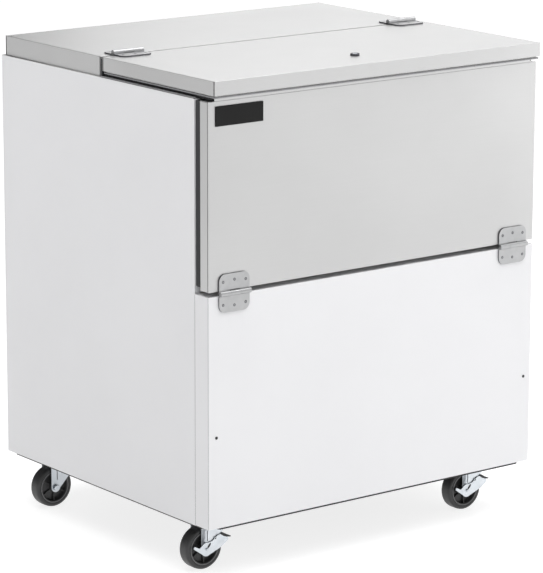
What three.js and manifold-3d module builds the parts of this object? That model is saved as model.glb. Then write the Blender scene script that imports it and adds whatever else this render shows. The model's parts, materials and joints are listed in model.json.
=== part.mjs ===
// Single-sided milk cooler on casters: a white insulated cabinet with a stainless hinged lid,
// a stainless drop-down front door, and the refrigeration that keeps it cold.
// Millimetres, +Z up, +X to the right as seen from the front, and the front faces -Y.
// The origin is on the floor, under the middle of the bounding box.
import * as THREE from 'three';
import { mergeVertices } from 'three/addons/utils/BufferGeometryUtils.js';
import Module from 'manifold-3d';

const wasm = await Module();
wasm.setup();

// ---- driving dimensions -------------------------------------------------------------------
const GAP = 0.3; // clearance between touching pieces
const SHEET = 1.2; // sheet metal thickness

const BODY_WIDTH = 860;
const BODY_DEPTH = 745; // front face of the door to the back panel
const LID_OVERHANG = 16; // lid beyond the front face of the door
const BODY_BOTTOM = 110;
const BODY_TOP = 986;
const OVERALL_TOP = 1028; // lid and rear cap, without the hinges

const SIDE = BODY_WIDTH / 2;
const FRONT = LID_OVERHANG - (BODY_DEPTH + LID_OVERHANG) / 2;
const BACK = FRONT + BODY_DEPTH;
const JAMB = FRONT + 47; // front edge of the side panels, where the door seals

const PANEL_TOP = 592; // lower front panel
const DOOR_BOTTOM = 601.5;
const DOOR_TOP = 985.5;
const DOOR_PAN = 28.4;
const SILL = 634;

const LID_SIDE = 425.7;
const LID_SKIRT_BOTTOM = 999;
const SEAM = FRONT + 375; // middle of the gap between the lid and the rear cap
const SEAM_GAP = 8;
const CAP_SIDE = 424.5;
const CAP_BACK = FRONT + 736.5;

const WELL_SIDE = 372; // inner faces of the liner
const WELL_FRONT = FRONT + 98;
const WELL_FLOOR = 170;
const STEP_FRONT = FRONT + 455;
const STEP_TOP = 500;
const WELL_BACK = FRONT + 690;

const MACHINE_SIDE = 400; // compartment behind and below the step
const MACHINE_FRONT = FRONT + 510;
const MACHINE_TOP = 445;

const HINGE = {
  width: 76, leaf: 39.5, plate: 2.2, knuckle: 5.5, rise: 5.7, pin: 2.3, corner: 15,
  screws: { spread: 28, near: 23.5, far: 26.3, radius: 3.2, proud: 0.9 },
};
const LID_HINGE_X = { left: -359.5, right: 369 };
const DOOR_HINGE_X = { left: -368, right: 370 };
const DOOR_HINGE_Z = 596.8;

const CASTER = {
  x: 350.9, inset: 91, rearInset: 101, trail: 34, wheel: 45, tread: 30, plateTop: 105.5, crown: 92,
};

// ---- materials ----------------------------------------------------------------------------
const finish = (color, roughness, metalness) =>
  new THREE.MeshStandardMaterial({ color, roughness, metalness });
const whitePaint = finish(0xe9e9ec, 0.42, 0.0);
const stainless = finish(0xc9cacc, 0.34, 0.9);
const liner = finish(0xd4d6d8, 0.38, 0.85);
const rubber = finish(0x3a3a3c, 0.85, 0.0);
const foam = finish(0xd9cba0, 0.95, 0.0);
const plastic = finish(0xe4e4e2, 0.5, 0.0);
const blackPaint = finish(0x1b1b1d, 0.55, 0.1);
const blackPlastic = finish(0x161618, 0.5, 0.0);
const zinc = finish(0xc8d4e0, 0.35, 0.8);
const tyre = finish(0x1f1f21, 0.75, 0.0);
const fins = finish(0xb7babd, 0.45, 0.8);
const castBlack = finish(0x202022, 0.6, 0.3);

// ---- solids -------------------------------------------------------------------------------
// A solid is a manifold, made from a three.js geometry and turned back into one when added.
function solid(geometry) {
  const bare = geometry.index ? geometry : geometry.clone();
  bare.deleteAttribute('normal');
  bare.deleteAttribute('uv');
  const merged = mergeVertices(bare, 1e-4);
  return new wasm.Manifold(new wasm.Mesh({
    numProp: 3,
    vertProperties: new Float32Array(merged.attributes.position.array),
    triVerts: new Uint32Array(merged.index.array),
  }));
}

function toGeometry(body) {
  const mesh = body.getMesh();
  const geometry = new THREE.BufferGeometry();
  geometry.setAttribute('position', new THREE.BufferAttribute(new Float32Array(mesh.vertProperties), 3));
  geometry.setIndex(new THREE.BufferAttribute(new Uint32Array(mesh.triVerts), 1));
  const flat = geometry.toNonIndexed();
  flat.computeVertexNormals();
  return flat;
}

const X = new THREE.Vector3(1, 0, 0);
const Y = new THREE.Vector3(0, 1, 0);
const Z = new THREE.Vector3(0, 0, 1);
const minus = (v) => v.clone().negate();

const fuse = (...parts) => parts.reduce((a, b) => a.add(b));
const cut = (body, ...tools) => tools.reduce((a, b) => a.subtract(b), body);

// A block between opposite corners, each given as a [low, high] pair.
function block([x0, x1], [y0, y1], [z0, z1]) {
  const box = new THREE.BoxGeometry(x1 - x0, y1 - y0, z1 - z0);
  box.translate((x0 + x1) / 2, (y0 + y1) / 2, (z0 + z1) / 2);
  return solid(box);
}

// An outline pushed along Z, X or Y. Its points are (x, y), (y, z) or (x, z).
function outline(points) {
  if (points instanceof THREE.Shape) return points;
  return new THREE.Shape(points.map(([u, v]) => new THREE.Vector2(u, v)));
}

function extruded(points, [from, to], segments) {
  const settings = { depth: to - from, bevelEnabled: false, curveSegments: segments };
  return new THREE.ExtrudeGeometry(outline(points), settings);
}

function alongZ(points, [z0, z1], segments = 8) {
  return solid(extruded(points, [z0, z1], segments).translate(0, 0, z0));
}

function alongX(points, [x0, x1], segments = 8) {
  const turn = new THREE.Matrix4().makeBasis(Y, Z, X);
  return solid(extruded(points, [x0, x1], segments).applyMatrix4(turn).translate(x0, 0, 0));
}

function alongY(points, [y0, y1], segments = 8) {
  const turn = new THREE.Matrix4().makeBasis(X, Z, minus(Y));
  return solid(extruded(points, [y0, y1], segments).applyMatrix4(turn).translate(0, y1, 0));
}

// A cylinder between two stations on an axis through a point of the other two coordinates.
function rod(axis, radius, [from, to], [u, v], segments = 20) {
  const g = new THREE.CylinderGeometry(radius, radius, to - from, segments);
  const mid = (from + to) / 2;
  if (axis === 'x') g.rotateZ(Math.PI / 2).translate(mid, u, v);
  if (axis === 'y') g.translate(u, mid, v);
  if (axis === 'z') g.rotateX(Math.PI / 2).translate(u, v, mid);
  return solid(g);
}

// A turned piece: (radius, height) points about the Z axis.
function turned(profile, segments = 24) {
  const g = new THREE.LatheGeometry(profile.map(([r, h]) => new THREE.Vector2(r, h)), segments);
  return solid(g.rotateX(Math.PI / 2));
}

// A sheet-metal pan: a block hollowed from one open side.
function pan([x0, x1], [y0, y1], [z0, z1], open, wall = SHEET) {
  const inner = { x: [x0 + wall, x1 - wall], y: [y0 + wall, y1 - wall], z: [z0 + wall, z1 - wall] };
  const axis = open[1];
  const end = { x: [x0, x1], y: [y0, y1], z: [z0, z1] }[axis];
  if (open[0] === '+') inner[axis][1] = end[1] + 1;
  else inner[axis][0] = end[0] - 1;
  return cut(block([x0, x1], [y0, y1], [z0, z1]), block(inner.x, inner.y, inner.z));
}

const cooler = new THREE.Group();

function add(name, body, material, group = cooler) {
  const mesh = new THREE.Mesh(toGeometry(body), material);
  mesh.name = name;
  group.add(mesh);
}

// ---- cabinet shell ------------------------------------------------------------------------
const RETURN = 14; // flange folded in at each end of a side panel

function sidePanel(name, side) {
  const outer = side * SIDE;
  const inner = side * (SIDE - SHEET);
  const lip = side * (SIDE - RETURN);
  const section = [[outer, JAMB], [lip, JAMB], [lip, JAMB + SHEET], [inner, JAMB + SHEET],
    [inner, BACK - SHEET], [lip, BACK - SHEET], [lip, BACK], [outer, BACK]];
  add(name, alongZ(side > 0 ? section.reverse() : section, [BODY_BOTTOM, BODY_TOP]), whitePaint);
}

const BETWEEN_SIDES = SIDE - SHEET - GAP;
const BETWEEN_RETURNS = SIDE - RETURN - GAP;
const GRILLE = {
  bottom: 113, top: 458, first: 154, rows: 10, pitch: 26, slot: 8, columns: [-262, 0, 262], width: 230,
};
const BACK_PANEL_BOTTOM = 452;
const GLAND = { x: 372, z: 148, radius: 11 };
const DIAL = { x: -330, z: 392, radius: 21 };

function backOfCabinet() {
  const behindReturns = BACK - SHEET - GAP;
  add('back_panel', block([-BETWEEN_SIDES, BETWEEN_SIDES], [behindReturns - SHEET, behindReturns],
    [BACK_PANEL_BOTTOM, BODY_TOP - 2]), whitePaint);
  let grille = block([-BETWEEN_RETURNS, BETWEEN_RETURNS], [BACK - SHEET, BACK], [GRILLE.bottom, GRILLE.top]);
  for (const column of GRILLE.columns) {
    for (let row = 0; row < GRILLE.rows; row++) {
      const z = GRILLE.first + row * GRILLE.pitch;
      const half = GRILLE.width / 2;
      const overGland = column > 0 && z < GLAND.z + 24;
      const overDial = column < 0 && z > DIAL.z - 34;
      const x0 = overDial ? column + half - 120 : column - half;
      const x1 = overGland ? column - half + 150 : column + half;
      grille = cut(grille, block([x0, x1], [BACK - 3, BACK + 1], [z, z + GRILLE.slot]));
    }
  }
  grille = cut(grille, rod('y', GLAND.radius + 0.5, [BACK - 3, BACK + 1], [GLAND.x, GLAND.z]));
  grille = cut(grille, rod('y', DIAL.radius + 3, [BACK - 3, BACK + 1], [DIAL.x, DIAL.z], 28));
  add('machine_grille', grille, whitePaint);
}

const DRAIN = { x: 180, y: FRONT + 140, tube: 13, bore: 10 };

const TRAY_INSET = 6; // the base tray stands back from every face of the cabinet
const TRAY_NOTCH = 22; // square cut out of each corner of the tray

function baseOfCabinet() {
  const half = SIDE - TRAY_INSET;
  const y = [FRONT + TRAY_INSET, BACK - TRAY_INSET];
  const z = [CASTER.plateTop + GAP, BODY_BOTTOM - GAP];
  const tray = fuse(block([-half + TRAY_NOTCH, half - TRAY_NOTCH], y, z),
    block([-half, half], [y[0] + TRAY_NOTCH, y[1] - TRAY_NOTCH], z));
  const hole = rod('z', DRAIN.tube + 1, [z[0] - 5, z[1] + 5], [DRAIN.x, DRAIN.y]);
  add('base_tray', cut(tray, hole), blackPaint);
}

function lowerFrontPanel() {
  const shell = pan([-SIDE, SIDE], [FRONT, JAMB - GAP], [BODY_BOTTOM, PANEL_TOP], '+y');
  add('lower_front_panel', shell, whitePaint);
  const screw = { x: 411, z: 301, radius: 3.2 };
  for (const [name, side] of [['panel_screw_left', -1], ['panel_screw_right', 1]]) {
    const head = rod('y', screw.radius, [FRONT - 1.6, FRONT - GAP], [side * screw.x, screw.z], 14);
    const socket = rod('y', 1.4, [FRONT - 3, FRONT - 0.9], [side * screw.x, screw.z], 6);
    add(name, cut(head, socket), blackPaint);
  }
}

// ---- insulated well -----------------------------------------------------------------------
const LINER = SHEET;

function wellOutline(grow) {
  return [[WELL_FRONT - grow, WELL_FLOOR - grow], [STEP_FRONT + grow, WELL_FLOOR - grow],
    [STEP_FRONT + grow, STEP_TOP - grow], [WELL_BACK + grow, STEP_TOP - grow]];
}

function insulatedWell() {
  const linerTop = BODY_TOP - 2;
  const linerFront = JAMB + 2.2;
  const outer = alongX([...wellOutline(LINER), [WELL_BACK + LINER, linerTop], [linerFront, linerTop],
    [linerFront, SILL + 1], [WELL_FRONT - LINER, SILL + 1]], [-WELL_SIDE - LINER, WELL_SIDE + LINER]);
  const hollow = alongX([...wellOutline(0), [WELL_BACK, linerTop + 5], [linerFront - 5, linerTop + 5],
    [linerFront - 5, SILL + 1 + LINER], [WELL_FRONT, SILL + 1 + LINER]], [-WELL_SIDE, WELL_SIDE]);
  const drainHole = rod('z', DRAIN.tube + GAP, [WELL_FLOOR - 80, WELL_FLOOR + 5], [DRAIN.x, DRAIN.y]);
  add('inner_liner', cut(outer, hollow, drainHole), liner);

  const foamTop = linerTop - GAP;
  const foamBack = BACK - 2 * (SHEET + GAP) - 0.2;
  const main = block([-BETWEEN_SIDES, BETWEEN_SIDES], [JAMB + 2, foamBack], [BODY_BOTTOM + GAP, foamTop]);
  const behindPanel = block([-BETWEEN_RETURNS, BETWEEN_RETURNS], [FRONT + SHEET + GAP, JAMB + 2],
    [BODY_BOTTOM + SHEET + GAP, PANEL_TOP - SHEET - GAP]);
  const wellSpace = alongX([...wellOutline(LINER + GAP), [WELL_BACK + LINER + GAP, foamTop + 5],
    [JAMB - 5, foamTop + 5], [JAMB - 5, SILL + 1 - GAP], [WELL_FRONT - LINER - GAP, SILL + 1 - GAP]],
  [-WELL_SIDE - LINER - GAP, WELL_SIDE + LINER + GAP]);
  const machineSpace = block([-MACHINE_SIDE, MACHINE_SIDE], [MACHINE_FRONT, BACK + 5],
    [BODY_BOTTOM - 5, MACHINE_TOP]);
  add('foam_insulation', cut(fuse(main, behindPanel), wellSpace, machineSpace, drainHole), foam);

  const drain = cut(fuse(rod('z', DRAIN.tube, [98, WELL_FLOOR - LINER], [DRAIN.x, DRAIN.y]),
    rod('z', 20, [WELL_FLOOR + GAP, WELL_FLOOR + 2], [DRAIN.x, DRAIN.y]),
    rod('z', DRAIN.tube, [WELL_FLOOR - 3, WELL_FLOOR + 1], [DRAIN.x, DRAIN.y])),
  rod('z', DRAIN.bore, [90, WELL_FLOOR + 5], [DRAIN.x, DRAIN.y]));
  add('drain_tube', drain, plastic);
}

const RIM_IN = 371.5;
const CROSSBAR = [FRONT + 348, FRONT + 402];

function openingFrames() {
  const sealFace = block([-BETWEEN_RETURNS, BETWEEN_RETURNS], [JAMB, JAMB + 1.6],
    [PANEL_TOP + GAP, BODY_TOP - 2]);
  const doorway = block([-WELL_SIDE, WELL_SIDE], [JAMB - 5, JAMB + 5], [SILL, BODY_TOP + 5]);
  add('front_frame', cut(sealFace, doorway), plastic);
  const rimPlate = block([-BETWEEN_SIDES, BETWEEN_SIDES], [JAMB + 2, BACK - SHEET - GAP],
    [BODY_TOP - 1.7, BODY_TOP]);
  const rim = cut(rimPlate, block([-RIM_IN, RIM_IN], [JAMB - 5, CROSSBAR[0]], [BODY_TOP - 5, BODY_TOP + 5]),
    block([-RIM_IN, RIM_IN], [CROSSBAR[1], FRONT + 688], [BODY_TOP - 5, BODY_TOP + 5]));
  add('top_rim', rim, stainless);
}

function rearCap() {
  const y = [SEAM + SEAM_GAP / 2, CAP_BACK];
  add('rear_top_cap', pan([-CAP_SIDE, CAP_SIDE], y, [BODY_TOP + GAP, OVERALL_TOP], '-z'), stainless);
  const inset = SHEET + GAP;
  const half = CAP_SIDE - inset;
  const slab = block([-half, half], [y[0] + inset, y[1] - inset], [BODY_TOP + GAP, OVERALL_TOP - inset]);
  const plug = block([-RIM_IN + 2, RIM_IN - 2], [CROSSBAR[1] + 2, WELL_BACK - 4], [958, BODY_TOP + 2]);
  add('rear_cap_core', fuse(slab, plug), plastic);
}

// A slatted rack: rails front to back under cross slats.
function rack(name, [x0, x1], [y0, y1], floor, slats) {
  const rail = 12;
  const height = 14;
  const slat = { width: 14, thick: 4 };
  let body = null;
  for (const x of [x0, (x0 + x1 - rail) / 2, x1 - rail]) {
    const beam = block([x, x + rail], [y0, y1], [floor + GAP, floor + height]);
    body = body ? body.add(beam) : beam;
  }
  const seat = floor + height - 1;
  for (let i = 0; i < slats; i++) {
    const y = y0 + i * (y1 - y0 - slat.width) / (slats - 1);
    body = body.add(block([x0, x1], [y, y + slat.width], [seat, seat + slat.thick]));
  }
  add(name, body, stainless);
}

// ---- refrigeration ------------------------------------------------------------------------
// Fins as a comb: a slab with slots between the plates.
function finnedBlock([x0, x1], [y0, y1], [z0, z1], count) {
  let body = block([x0, x1], [y0, y1], [z0, z1]);
  const pitch = (x1 - x0) / count;
  const slot = { half: pitch * 0.28, depth: (y1 - y0) * 0.6, end: 12 };
  for (let i = 0; i < count; i++) {
    const x = x0 + (i + 0.5) * pitch;
    const gap = block([x - slot.half, x + slot.half], [y0 - 1, y0 + slot.depth], [z0 + slot.end, z1 - slot.end]);
    body = cut(body, gap);
  }
  return body;
}

// A fan rotor about a Y axis: a hub and pitched blades.
function fanRotor(centre, hub, reach, [y0, y1], blades) {
  let body = rod('y', hub, [y0, y1], [0, 0], 20);
  const mid = (y0 + y1) / 2;
  for (let i = 0; i < blades; i++) {
    const blade = new THREE.BoxGeometry(reach - hub + 4, 1.8, reach * 0.42);
    blade.rotateX(THREE.MathUtils.degToRad(16)).translate((reach + hub - 4) / 2, mid, 0);
    blade.rotateY(i * 2 * Math.PI / blades);
    body = body.add(solid(blade));
  }
  return body.translate([centre[0], 0, centre[1]]);
}

const EVAPORATOR = { side: 290, front: FRONT + 600, bottom: 640, top: 950, fan: [0, 808], reach: 88 };

function evaporator() {
  const { side, front, bottom, top, fan, reach } = EVAPORATOR;
  const back = WELL_BACK - GAP;
  let cover = pan([-side, side], [front, back], [bottom, top], '+y');
  cover = cut(cover, rod('y', reach + 5, [front - 5, front + 5], fan, 32));
  for (let i = 0; i < 5; i++) {
    const z = bottom + 14 + i * 12;
    cover = cut(cover, block([-220, 220], [front - 5, front + 5], [z, z + 5]));
  }
  add('evaporator_cover', cover, liner);
  add('evaporator_coil', finnedBlock([-262, 262], [back - 42, back - 2], [bottom + 14, top - 24], 24), fins);
  const motor = fuse(rod('y', 30, [front + 26, back - 46], fan, 20),
    rod('y', 4, [front + 22, front + 30], fan, 10),
    block([fan[0] - 9, fan[0] + 9], [front + 26, front + 28], [bottom + 3, top - 3]));
  add('evaporator_fan_motor', motor, castBlack);
  const rotor = fanRotor(fan, 16, reach, [front + 5, front + 21.5], 5);
  add('evaporator_fan_rotor', rotor, blackPlastic);
}

const CONDENSER = { fan: [170, 262], reach: 108, coil: [BACK - 62, BACK - 22] };
const UNIT_BASE_TOP = BODY_BOTTOM + 3;
const COMPRESSOR = {
  x: -250, y: (MACHINE_FRONT + BACK) / 2, plate: { x: 85, y: 50 }, foot: { x: 75, y: 40, radius: 9 },
};

function condensingUnit() {
  const floor = UNIT_BASE_TOP;
  const base = block([-384, 384], [MACHINE_FRONT + 8, BACK - 14], [BODY_BOTTOM + GAP, floor]);
  const { x, y, plate, foot } = COMPRESSOR;
  const shell = turned([[0, 0], [58, 0], [72, 8], [74, 60], [74, 150], [66, 178], [44, 194], [0, 200]], 28);
  let compressor = fuse(shell.translate([x, y, floor + 22]),
    block([x - plate.x, x + plate.x], [y - plate.y, y + plate.y], [floor + 16, floor + 24]));
  for (const dx of [-foot.x, foot.x]) {
    for (const dy of [-foot.y, foot.y]) {
      compressor = compressor.add(rod('z', foot.radius, [floor + GAP, floor + 18], [x + dx, y + dy], 12));
    }
  }
  add('compressor', compressor, castBlack);
  const { fan, reach, coil } = CONDENSER;
  add('condenser_coil', finnedBlock([fan[0] - 140, fan[0] + 140], coil, [floor + GAP, 412], 24), fins);
  const shroud = cut(pan([fan[0] - 138, fan[0] + 138], [coil[0] - 34, coil[0] - GAP], [floor - 1, 408], '+y'),
    rod('y', reach + 4, [coil[0] - 40, coil[0] - 20], fan, 32));
  add('condensing_unit_frame', base.add(shroud), zinc);
  const housing = rod('y', 38, [coil[0] - 92, coil[0] - 44], fan, 20);
  const shaft = rod('y', 5, [coil[0] - 46, coil[0] - 32.5], fan, 10);
  const stand = block([fan[0] - 14, fan[0] + 14], [coil[0] - 86, coil[0] - 50], [floor + GAP, fan[1]]);
  add('condenser_fan_motor', fuse(housing, shaft, stand), castBlack);
  add('condenser_fan_rotor', fanRotor(fan, 18, reach, [coil[0] - 32, coil[0] - 12], 5), blackPlastic);
}

function electrics() {
  const { x, z, radius } = DIAL;
  const front = BACK - 70;
  const face = BACK - 16;
  add('control_box', cut(block([x - 52, x + 52], [front, face], [z - 46, z + 46]),
    rod('y', 4.6, [face - 20, face + 5], [x, z], 16)), blackPlastic);
  const skirt = rod('y', radius, [face + GAP, BACK - 2], [x, z], 28);
  const stem = rod('y', 4, [face - 16, face + 1], [x, z], 16);
  const pointer = block([x - 2, x + 2], [BACK - 3, BACK - 0.8], [z, z + radius - 3]);
  add('thermostat_knob', fuse(skirt, stem, pointer), blackPlastic);
  const gland = fuse(rod('y', GLAND.radius, [BACK - 14, BACK], [GLAND.x, GLAND.z], 20),
    rod('y', 15, [BACK - 12, BACK - SHEET - GAP], [GLAND.x, GLAND.z], 6));
  const cordHole = rod('y', 5, [BACK - 20, BACK + 5], [GLAND.x, GLAND.z], 16);
  add('power_cord_gland', cut(gland, cordHole), blackPlastic);
}

// ---- butt hinges --------------------------------------------------------------------------
// Local frame: the pin runs along X, the leaf lies towards +Y, and +Z is away from the surface.
const KNUCKLE_END = HINGE.width / 2;
const KNUCKLE_SPLIT = HINGE.width / 6;

function hingeLeaf(fixed) {
  const { width, leaf, plate, knuckle, rise, pin, corner, screws } = HINGE;
  const shape = new THREE.Shape();
  const half = width / 2;
  shape.moveTo(-half, 0);
  shape.lineTo(half, 0);
  shape.lineTo(half, leaf - corner);
  shape.absarc(half - corner, leaf - corner, corner, 0, Math.PI / 2);
  shape.absarc(-half + corner, leaf - corner, corner, Math.PI / 2, Math.PI);
  const middle = [[-KNUCKLE_SPLIT, KNUCKLE_SPLIT]];
  const ends = [[-KNUCKLE_END, -KNUCKLE_SPLIT], [KNUCKLE_SPLIT, KNUCKLE_END]];
  const [own, other] = fixed ? [middle, ends] : [ends, middle];
  let body = alongZ(shape, [GAP, GAP + plate], 5);
  for (const [from, to] of other) {
    body = cut(body, block([from - 0.4, to + 0.4], [-5, knuckle + 0.9], [-1, rise * 2]));
  }
  for (const [from, to] of own) {
    body = body.add(rod('x', knuckle, [from + 0.2, to - 0.2], [0, rise], 16));
    body = cut(body, block([from, to], [-knuckle - 1, knuckle + 1], [-3, 0.15]));
  }
  const { spread, near, far, radius, proud } = screws;
  for (const [x, y] of [[-spread, near], [0, far], [spread, near]]) {
    body = body.add(rod('z', radius, [GAP + 1, GAP + plate + proud], [x, y], 10));
  }
  if (fixed) return body.add(rod('x', pin, [-KNUCKLE_END - 0.6, KNUCKLE_END + 0.6], [0, rise], 12));
  return cut(body, rod('x', pin + 0.4, [-half - 2, half + 2], [0, rise], 12));
}

function placed(body, [ax, ay, az], origin) {
  const basis = new THREE.Matrix4().makeBasis(ax, ay, az).setPosition(...origin);
  return body.transform(basis.elements);
}

function hinges() {
  const fixedLeaf = hingeLeaf(true);
  const movingLeaf = hingeLeaf(false);
  for (const word of ['left', 'right']) {
    const lidSpot = [LID_HINGE_X[word], SEAM, OVERALL_TOP];
    add(`lid_hinge_${word}_fixed`, placed(fixedLeaf, [X, Y, Z], lidSpot), zinc);
    add(`lid_hinge_${word}_leaf`, placed(movingLeaf, [minus(X), minus(Y), Z], lidSpot), zinc);
    const doorSpot = [DOOR_HINGE_X[word], FRONT, DOOR_HINGE_Z];
    add(`door_hinge_${word}_fixed`, placed(fixedLeaf, [minus(X), minus(Z), minus(Y)], doorSpot), zinc);
    add(`door_hinge_${word}_leaf`, placed(movingLeaf, [X, Z, minus(Y)], doorSpot), zinc);
  }
}

// ---- drop-down front door -----------------------------------------------------------------
function frontDoor() {
  const panBack = FRONT + DOOR_PAN;
  add('door_skin', pan([-SIDE, SIDE], [FRONT, panBack], [DOOR_BOTTOM, DOOR_TOP], '+y'), stainless);
  const inset = SHEET + GAP;
  const half = SIDE - inset;
  const slab = block([-half, half], [FRONT + inset, panBack], [DOOR_BOTTOM + inset, DOOR_TOP - inset]);
  const plug = { side: 366, back: FRONT + 66, top: 960 };
  const raised = block([-plug.side, plug.side], [panBack - 2, plug.back], [SILL + 12, plug.top]);
  add('door_liner', fuse(slab, raised), plastic);
  const ring = { side: 427, wide: 24, bottom: 607, top: DOOR_TOP - 1.5 };
  const inside = ring.side - ring.wide;
  const gasket = cut(block([-ring.side, ring.side], [panBack + GAP, JAMB - GAP], [ring.bottom, ring.top]),
    block([-inside, inside], [FRONT, BACK], [ring.bottom + ring.wide, BODY_TOP + 5]));
  add('door_gasket', gasket, rubber);
  add('nameplate', block([-413, -295], [FRONT - 1.8, FRONT - GAP], [935, 975.5]), blackPlastic);
  const keeper = { side: 16, front: FRONT + 47, thick: 2, lip: 14, top: 980 };
  const upright = block([-keeper.side, keeper.side], [keeper.front, keeper.front + keeper.thick],
    [plug.top + GAP, keeper.top]);
  const lip = block([-keeper.side, keeper.side], [keeper.front, keeper.front + keeper.lip],
    [keeper.top - keeper.thick, keeper.top]);
  add('lock_keeper', fuse(upright, lip), zinc);
}

// ---- hinged lid and its lock --------------------------------------------------------------
const LOCK = { y: FRONT + 77, body: 8.6, bore: 5.4, head: 9.6, proud: 7.5, bottom: 979 };
LOCK.top = OVERALL_TOP + LOCK.proud;

function lid() {
  const y = [FRONT - LID_OVERHANG, SEAM - SEAM_GAP / 2];
  const lockHole = rod('z', LOCK.body + 0.4, [950, OVERALL_TOP + 5], [0, LOCK.y], 24);
  const skin = pan([-LID_SIDE, LID_SIDE], y, [LID_SKIRT_BOTTOM, OVERALL_TOP], '-z');
  add('lid_skin', cut(skin, lockHole), stainless);
  const flange = { top: 997, bottom: 994.3, inset: 0.6, neck: 5 };
  const plugBottom = 984;
  const slab = (inset, z) => block([-LID_SIDE + inset, LID_SIDE - inset], [y[0] + inset, y[1] - inset], z);
  const core = fuse(
    slab(SHEET + GAP, [LID_SKIRT_BOTTOM, OVERALL_TOP - SHEET - GAP]),
    slab(flange.neck, [flange.top - 1, LID_SKIRT_BOTTOM + 1]),
    slab(flange.inset, [flange.bottom, flange.top]),
    block([-360, 360], [FRONT + 62, FRONT + 340], [plugBottom, flange.bottom + 1]));
  add('lid_liner', cut(core, lockHole), plastic);
  const gasket = cut(block([-420, 420], [FRONT + 3, FRONT + 367], [BODY_TOP + 1.3, flange.bottom - GAP]),
    block([-398, 398], [FRONT + 24, FRONT + 350], [BODY_TOP - 5, BODY_TOP + 20]));
  add('lid_gasket', gasket, rubber);
}

function lidLock() {
  const seat = GAP - LOCK.proud;
  const head = turned([[0, seat], [LOCK.head, seat], [LOCK.head, -1.6], [LOCK.head - 1.6, 0], [0, 0]], 24)
    .translate([0, LOCK.y, LOCK.top]);
  const barrel = cut(fuse(head, rod('z', LOCK.body, [LOCK.bottom, LOCK.top - 1], [0, LOCK.y], 24)),
    rod('z', LOCK.bore, [LOCK.bottom - 5, LOCK.top + 5], [0, LOCK.y], 20));
  add('lock_barrel', barrel, zinc);
  const cam = { top: 976, thick: 3, reach: 27, heel: 8, half: 6 };
  const plug = fuse(rod('z', LOCK.bore - 0.4, [cam.top - cam.thick, LOCK.top - 0.4], [0, LOCK.y], 20),
    block([-cam.reach, cam.heel], [LOCK.y - cam.half, LOCK.y + cam.half], [cam.top - cam.thick, cam.top]));
  const keySlot = block([-0.8, 0.8], [LOCK.y - 3.4, LOCK.y + 3.4], [LOCK.top - 6, LOCK.top + 5]);
  add('lock_plug', cut(plug, keySlot), zinc);
}

// ---- casters ------------------------------------------------------------------------------
function casterPlate(x, y) {
  const top = CASTER.plateTop;
  const half = { x: 46, y: 31 };
  const shape = new THREE.Shape();
  const r = 6;
  shape.absarc(half.x - r, half.y - r, r, 0, Math.PI / 2);
  shape.absarc(-half.x + r, half.y - r, r, Math.PI / 2, Math.PI);
  shape.absarc(-half.x + r, -half.y + r, r, Math.PI, Math.PI * 1.5);
  shape.absarc(half.x - r, -half.y + r, r, Math.PI * 1.5, Math.PI * 2);
  let body = alongZ(shape, [top - 3, top], 3);
  for (const dx of [-36, 36]) {
    for (const dy of [-22, 22]) {
      body = body.add(rod('z', 6, [top - 8, top - 2], [dx, dy], 6));
    }
  }
  const raceway = turned([[0, 0], [24, 0], [28, 3], [28, 6], [25, 8], [0, 8]], 16)
    .translate([0, 0, top - 10.4]);
  const { crown } = CASTER;
  const kingpin = rod('z', 5, [crown - 6, top - 4], [0, 0], 12);
  const nut = rod('z', 9, [crown - 4, crown - GAP], [0, 0], 12);
  return fuse(body, raceway, kingpin, nut).translate([x, y, 0]);
}

const LEG_INNER = CASTER.tread / 2 + 2.3;
const LEG_OUTER = LEG_INNER + 2.5;

function casterFork(x, y) {
  const { trail, crown, wheel } = CASTER;
  const eye = 11;
  const top = crown + 2.6;
  const leg = new THREE.Shape();
  leg.moveTo(-trail - eye, top);
  leg.lineTo(-trail - eye, wheel);
  leg.absarc(-trail, wheel, eye, Math.PI, Math.PI * 1.85);
  leg.lineTo(16, top - 12);
  leg.lineTo(16, top);
  let body = null;
  for (const side of [-1, 1]) {
    const plate = alongY(leg, side > 0 ? [LEG_INNER, LEG_OUTER] : [-LEG_OUTER, -LEG_INNER], 8);
    body = body ? body.add(plate) : plate;
  }
  const crownShape = new THREE.Shape();
  crownShape.moveTo(-trail - eye, -LEG_OUTER);
  crownShape.lineTo(0, -LEG_OUTER - 4);
  crownShape.absarc(0, 0, LEG_OUTER + 4, -Math.PI / 2, Math.PI / 2);
  crownShape.lineTo(-trail - eye, LEG_OUTER);
  const plate = alongZ(crownShape, [crown, top], 8);
  const axle = fuse(rod('y', 4, [-LEG_OUTER - 4, LEG_OUTER + 4], [-trail, wheel], 14),
    rod('y', 7, [LEG_OUTER + 2.6, LEG_OUTER + 7], [-trail, wheel], 6),
    rod('y', 7, [-LEG_OUTER - 6, -LEG_OUTER - 2.6], [-trail, wheel], 14));
  return cut(fuse(body, plate, axle), rod('z', 5.5, [crown - 5, top + 5], [0, 0], 14)).translate([x, y, 0]);
}

function casterWheel(x, y) {
  const { trail, wheel, tread } = CASTER;
  const half = tread / 2;
  const bore = 4.5;
  const profile = [[bore, -half - 1.6], [10, -half - 1.6], [11, -half + 4], [31, -half + 4],
    [33, -half + 0.5], [38, -half], [42.5, -half + 2], [wheel, -half + 7]];
  const mirror = profile.map(([r, h]) => [r, -h]).reverse();
  const ring = [...profile, ...mirror, profile[0]];
  return turned(ring, 24).rotate([90, 0, 0]).translate([x - trail, y, wheel]);
}

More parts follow.
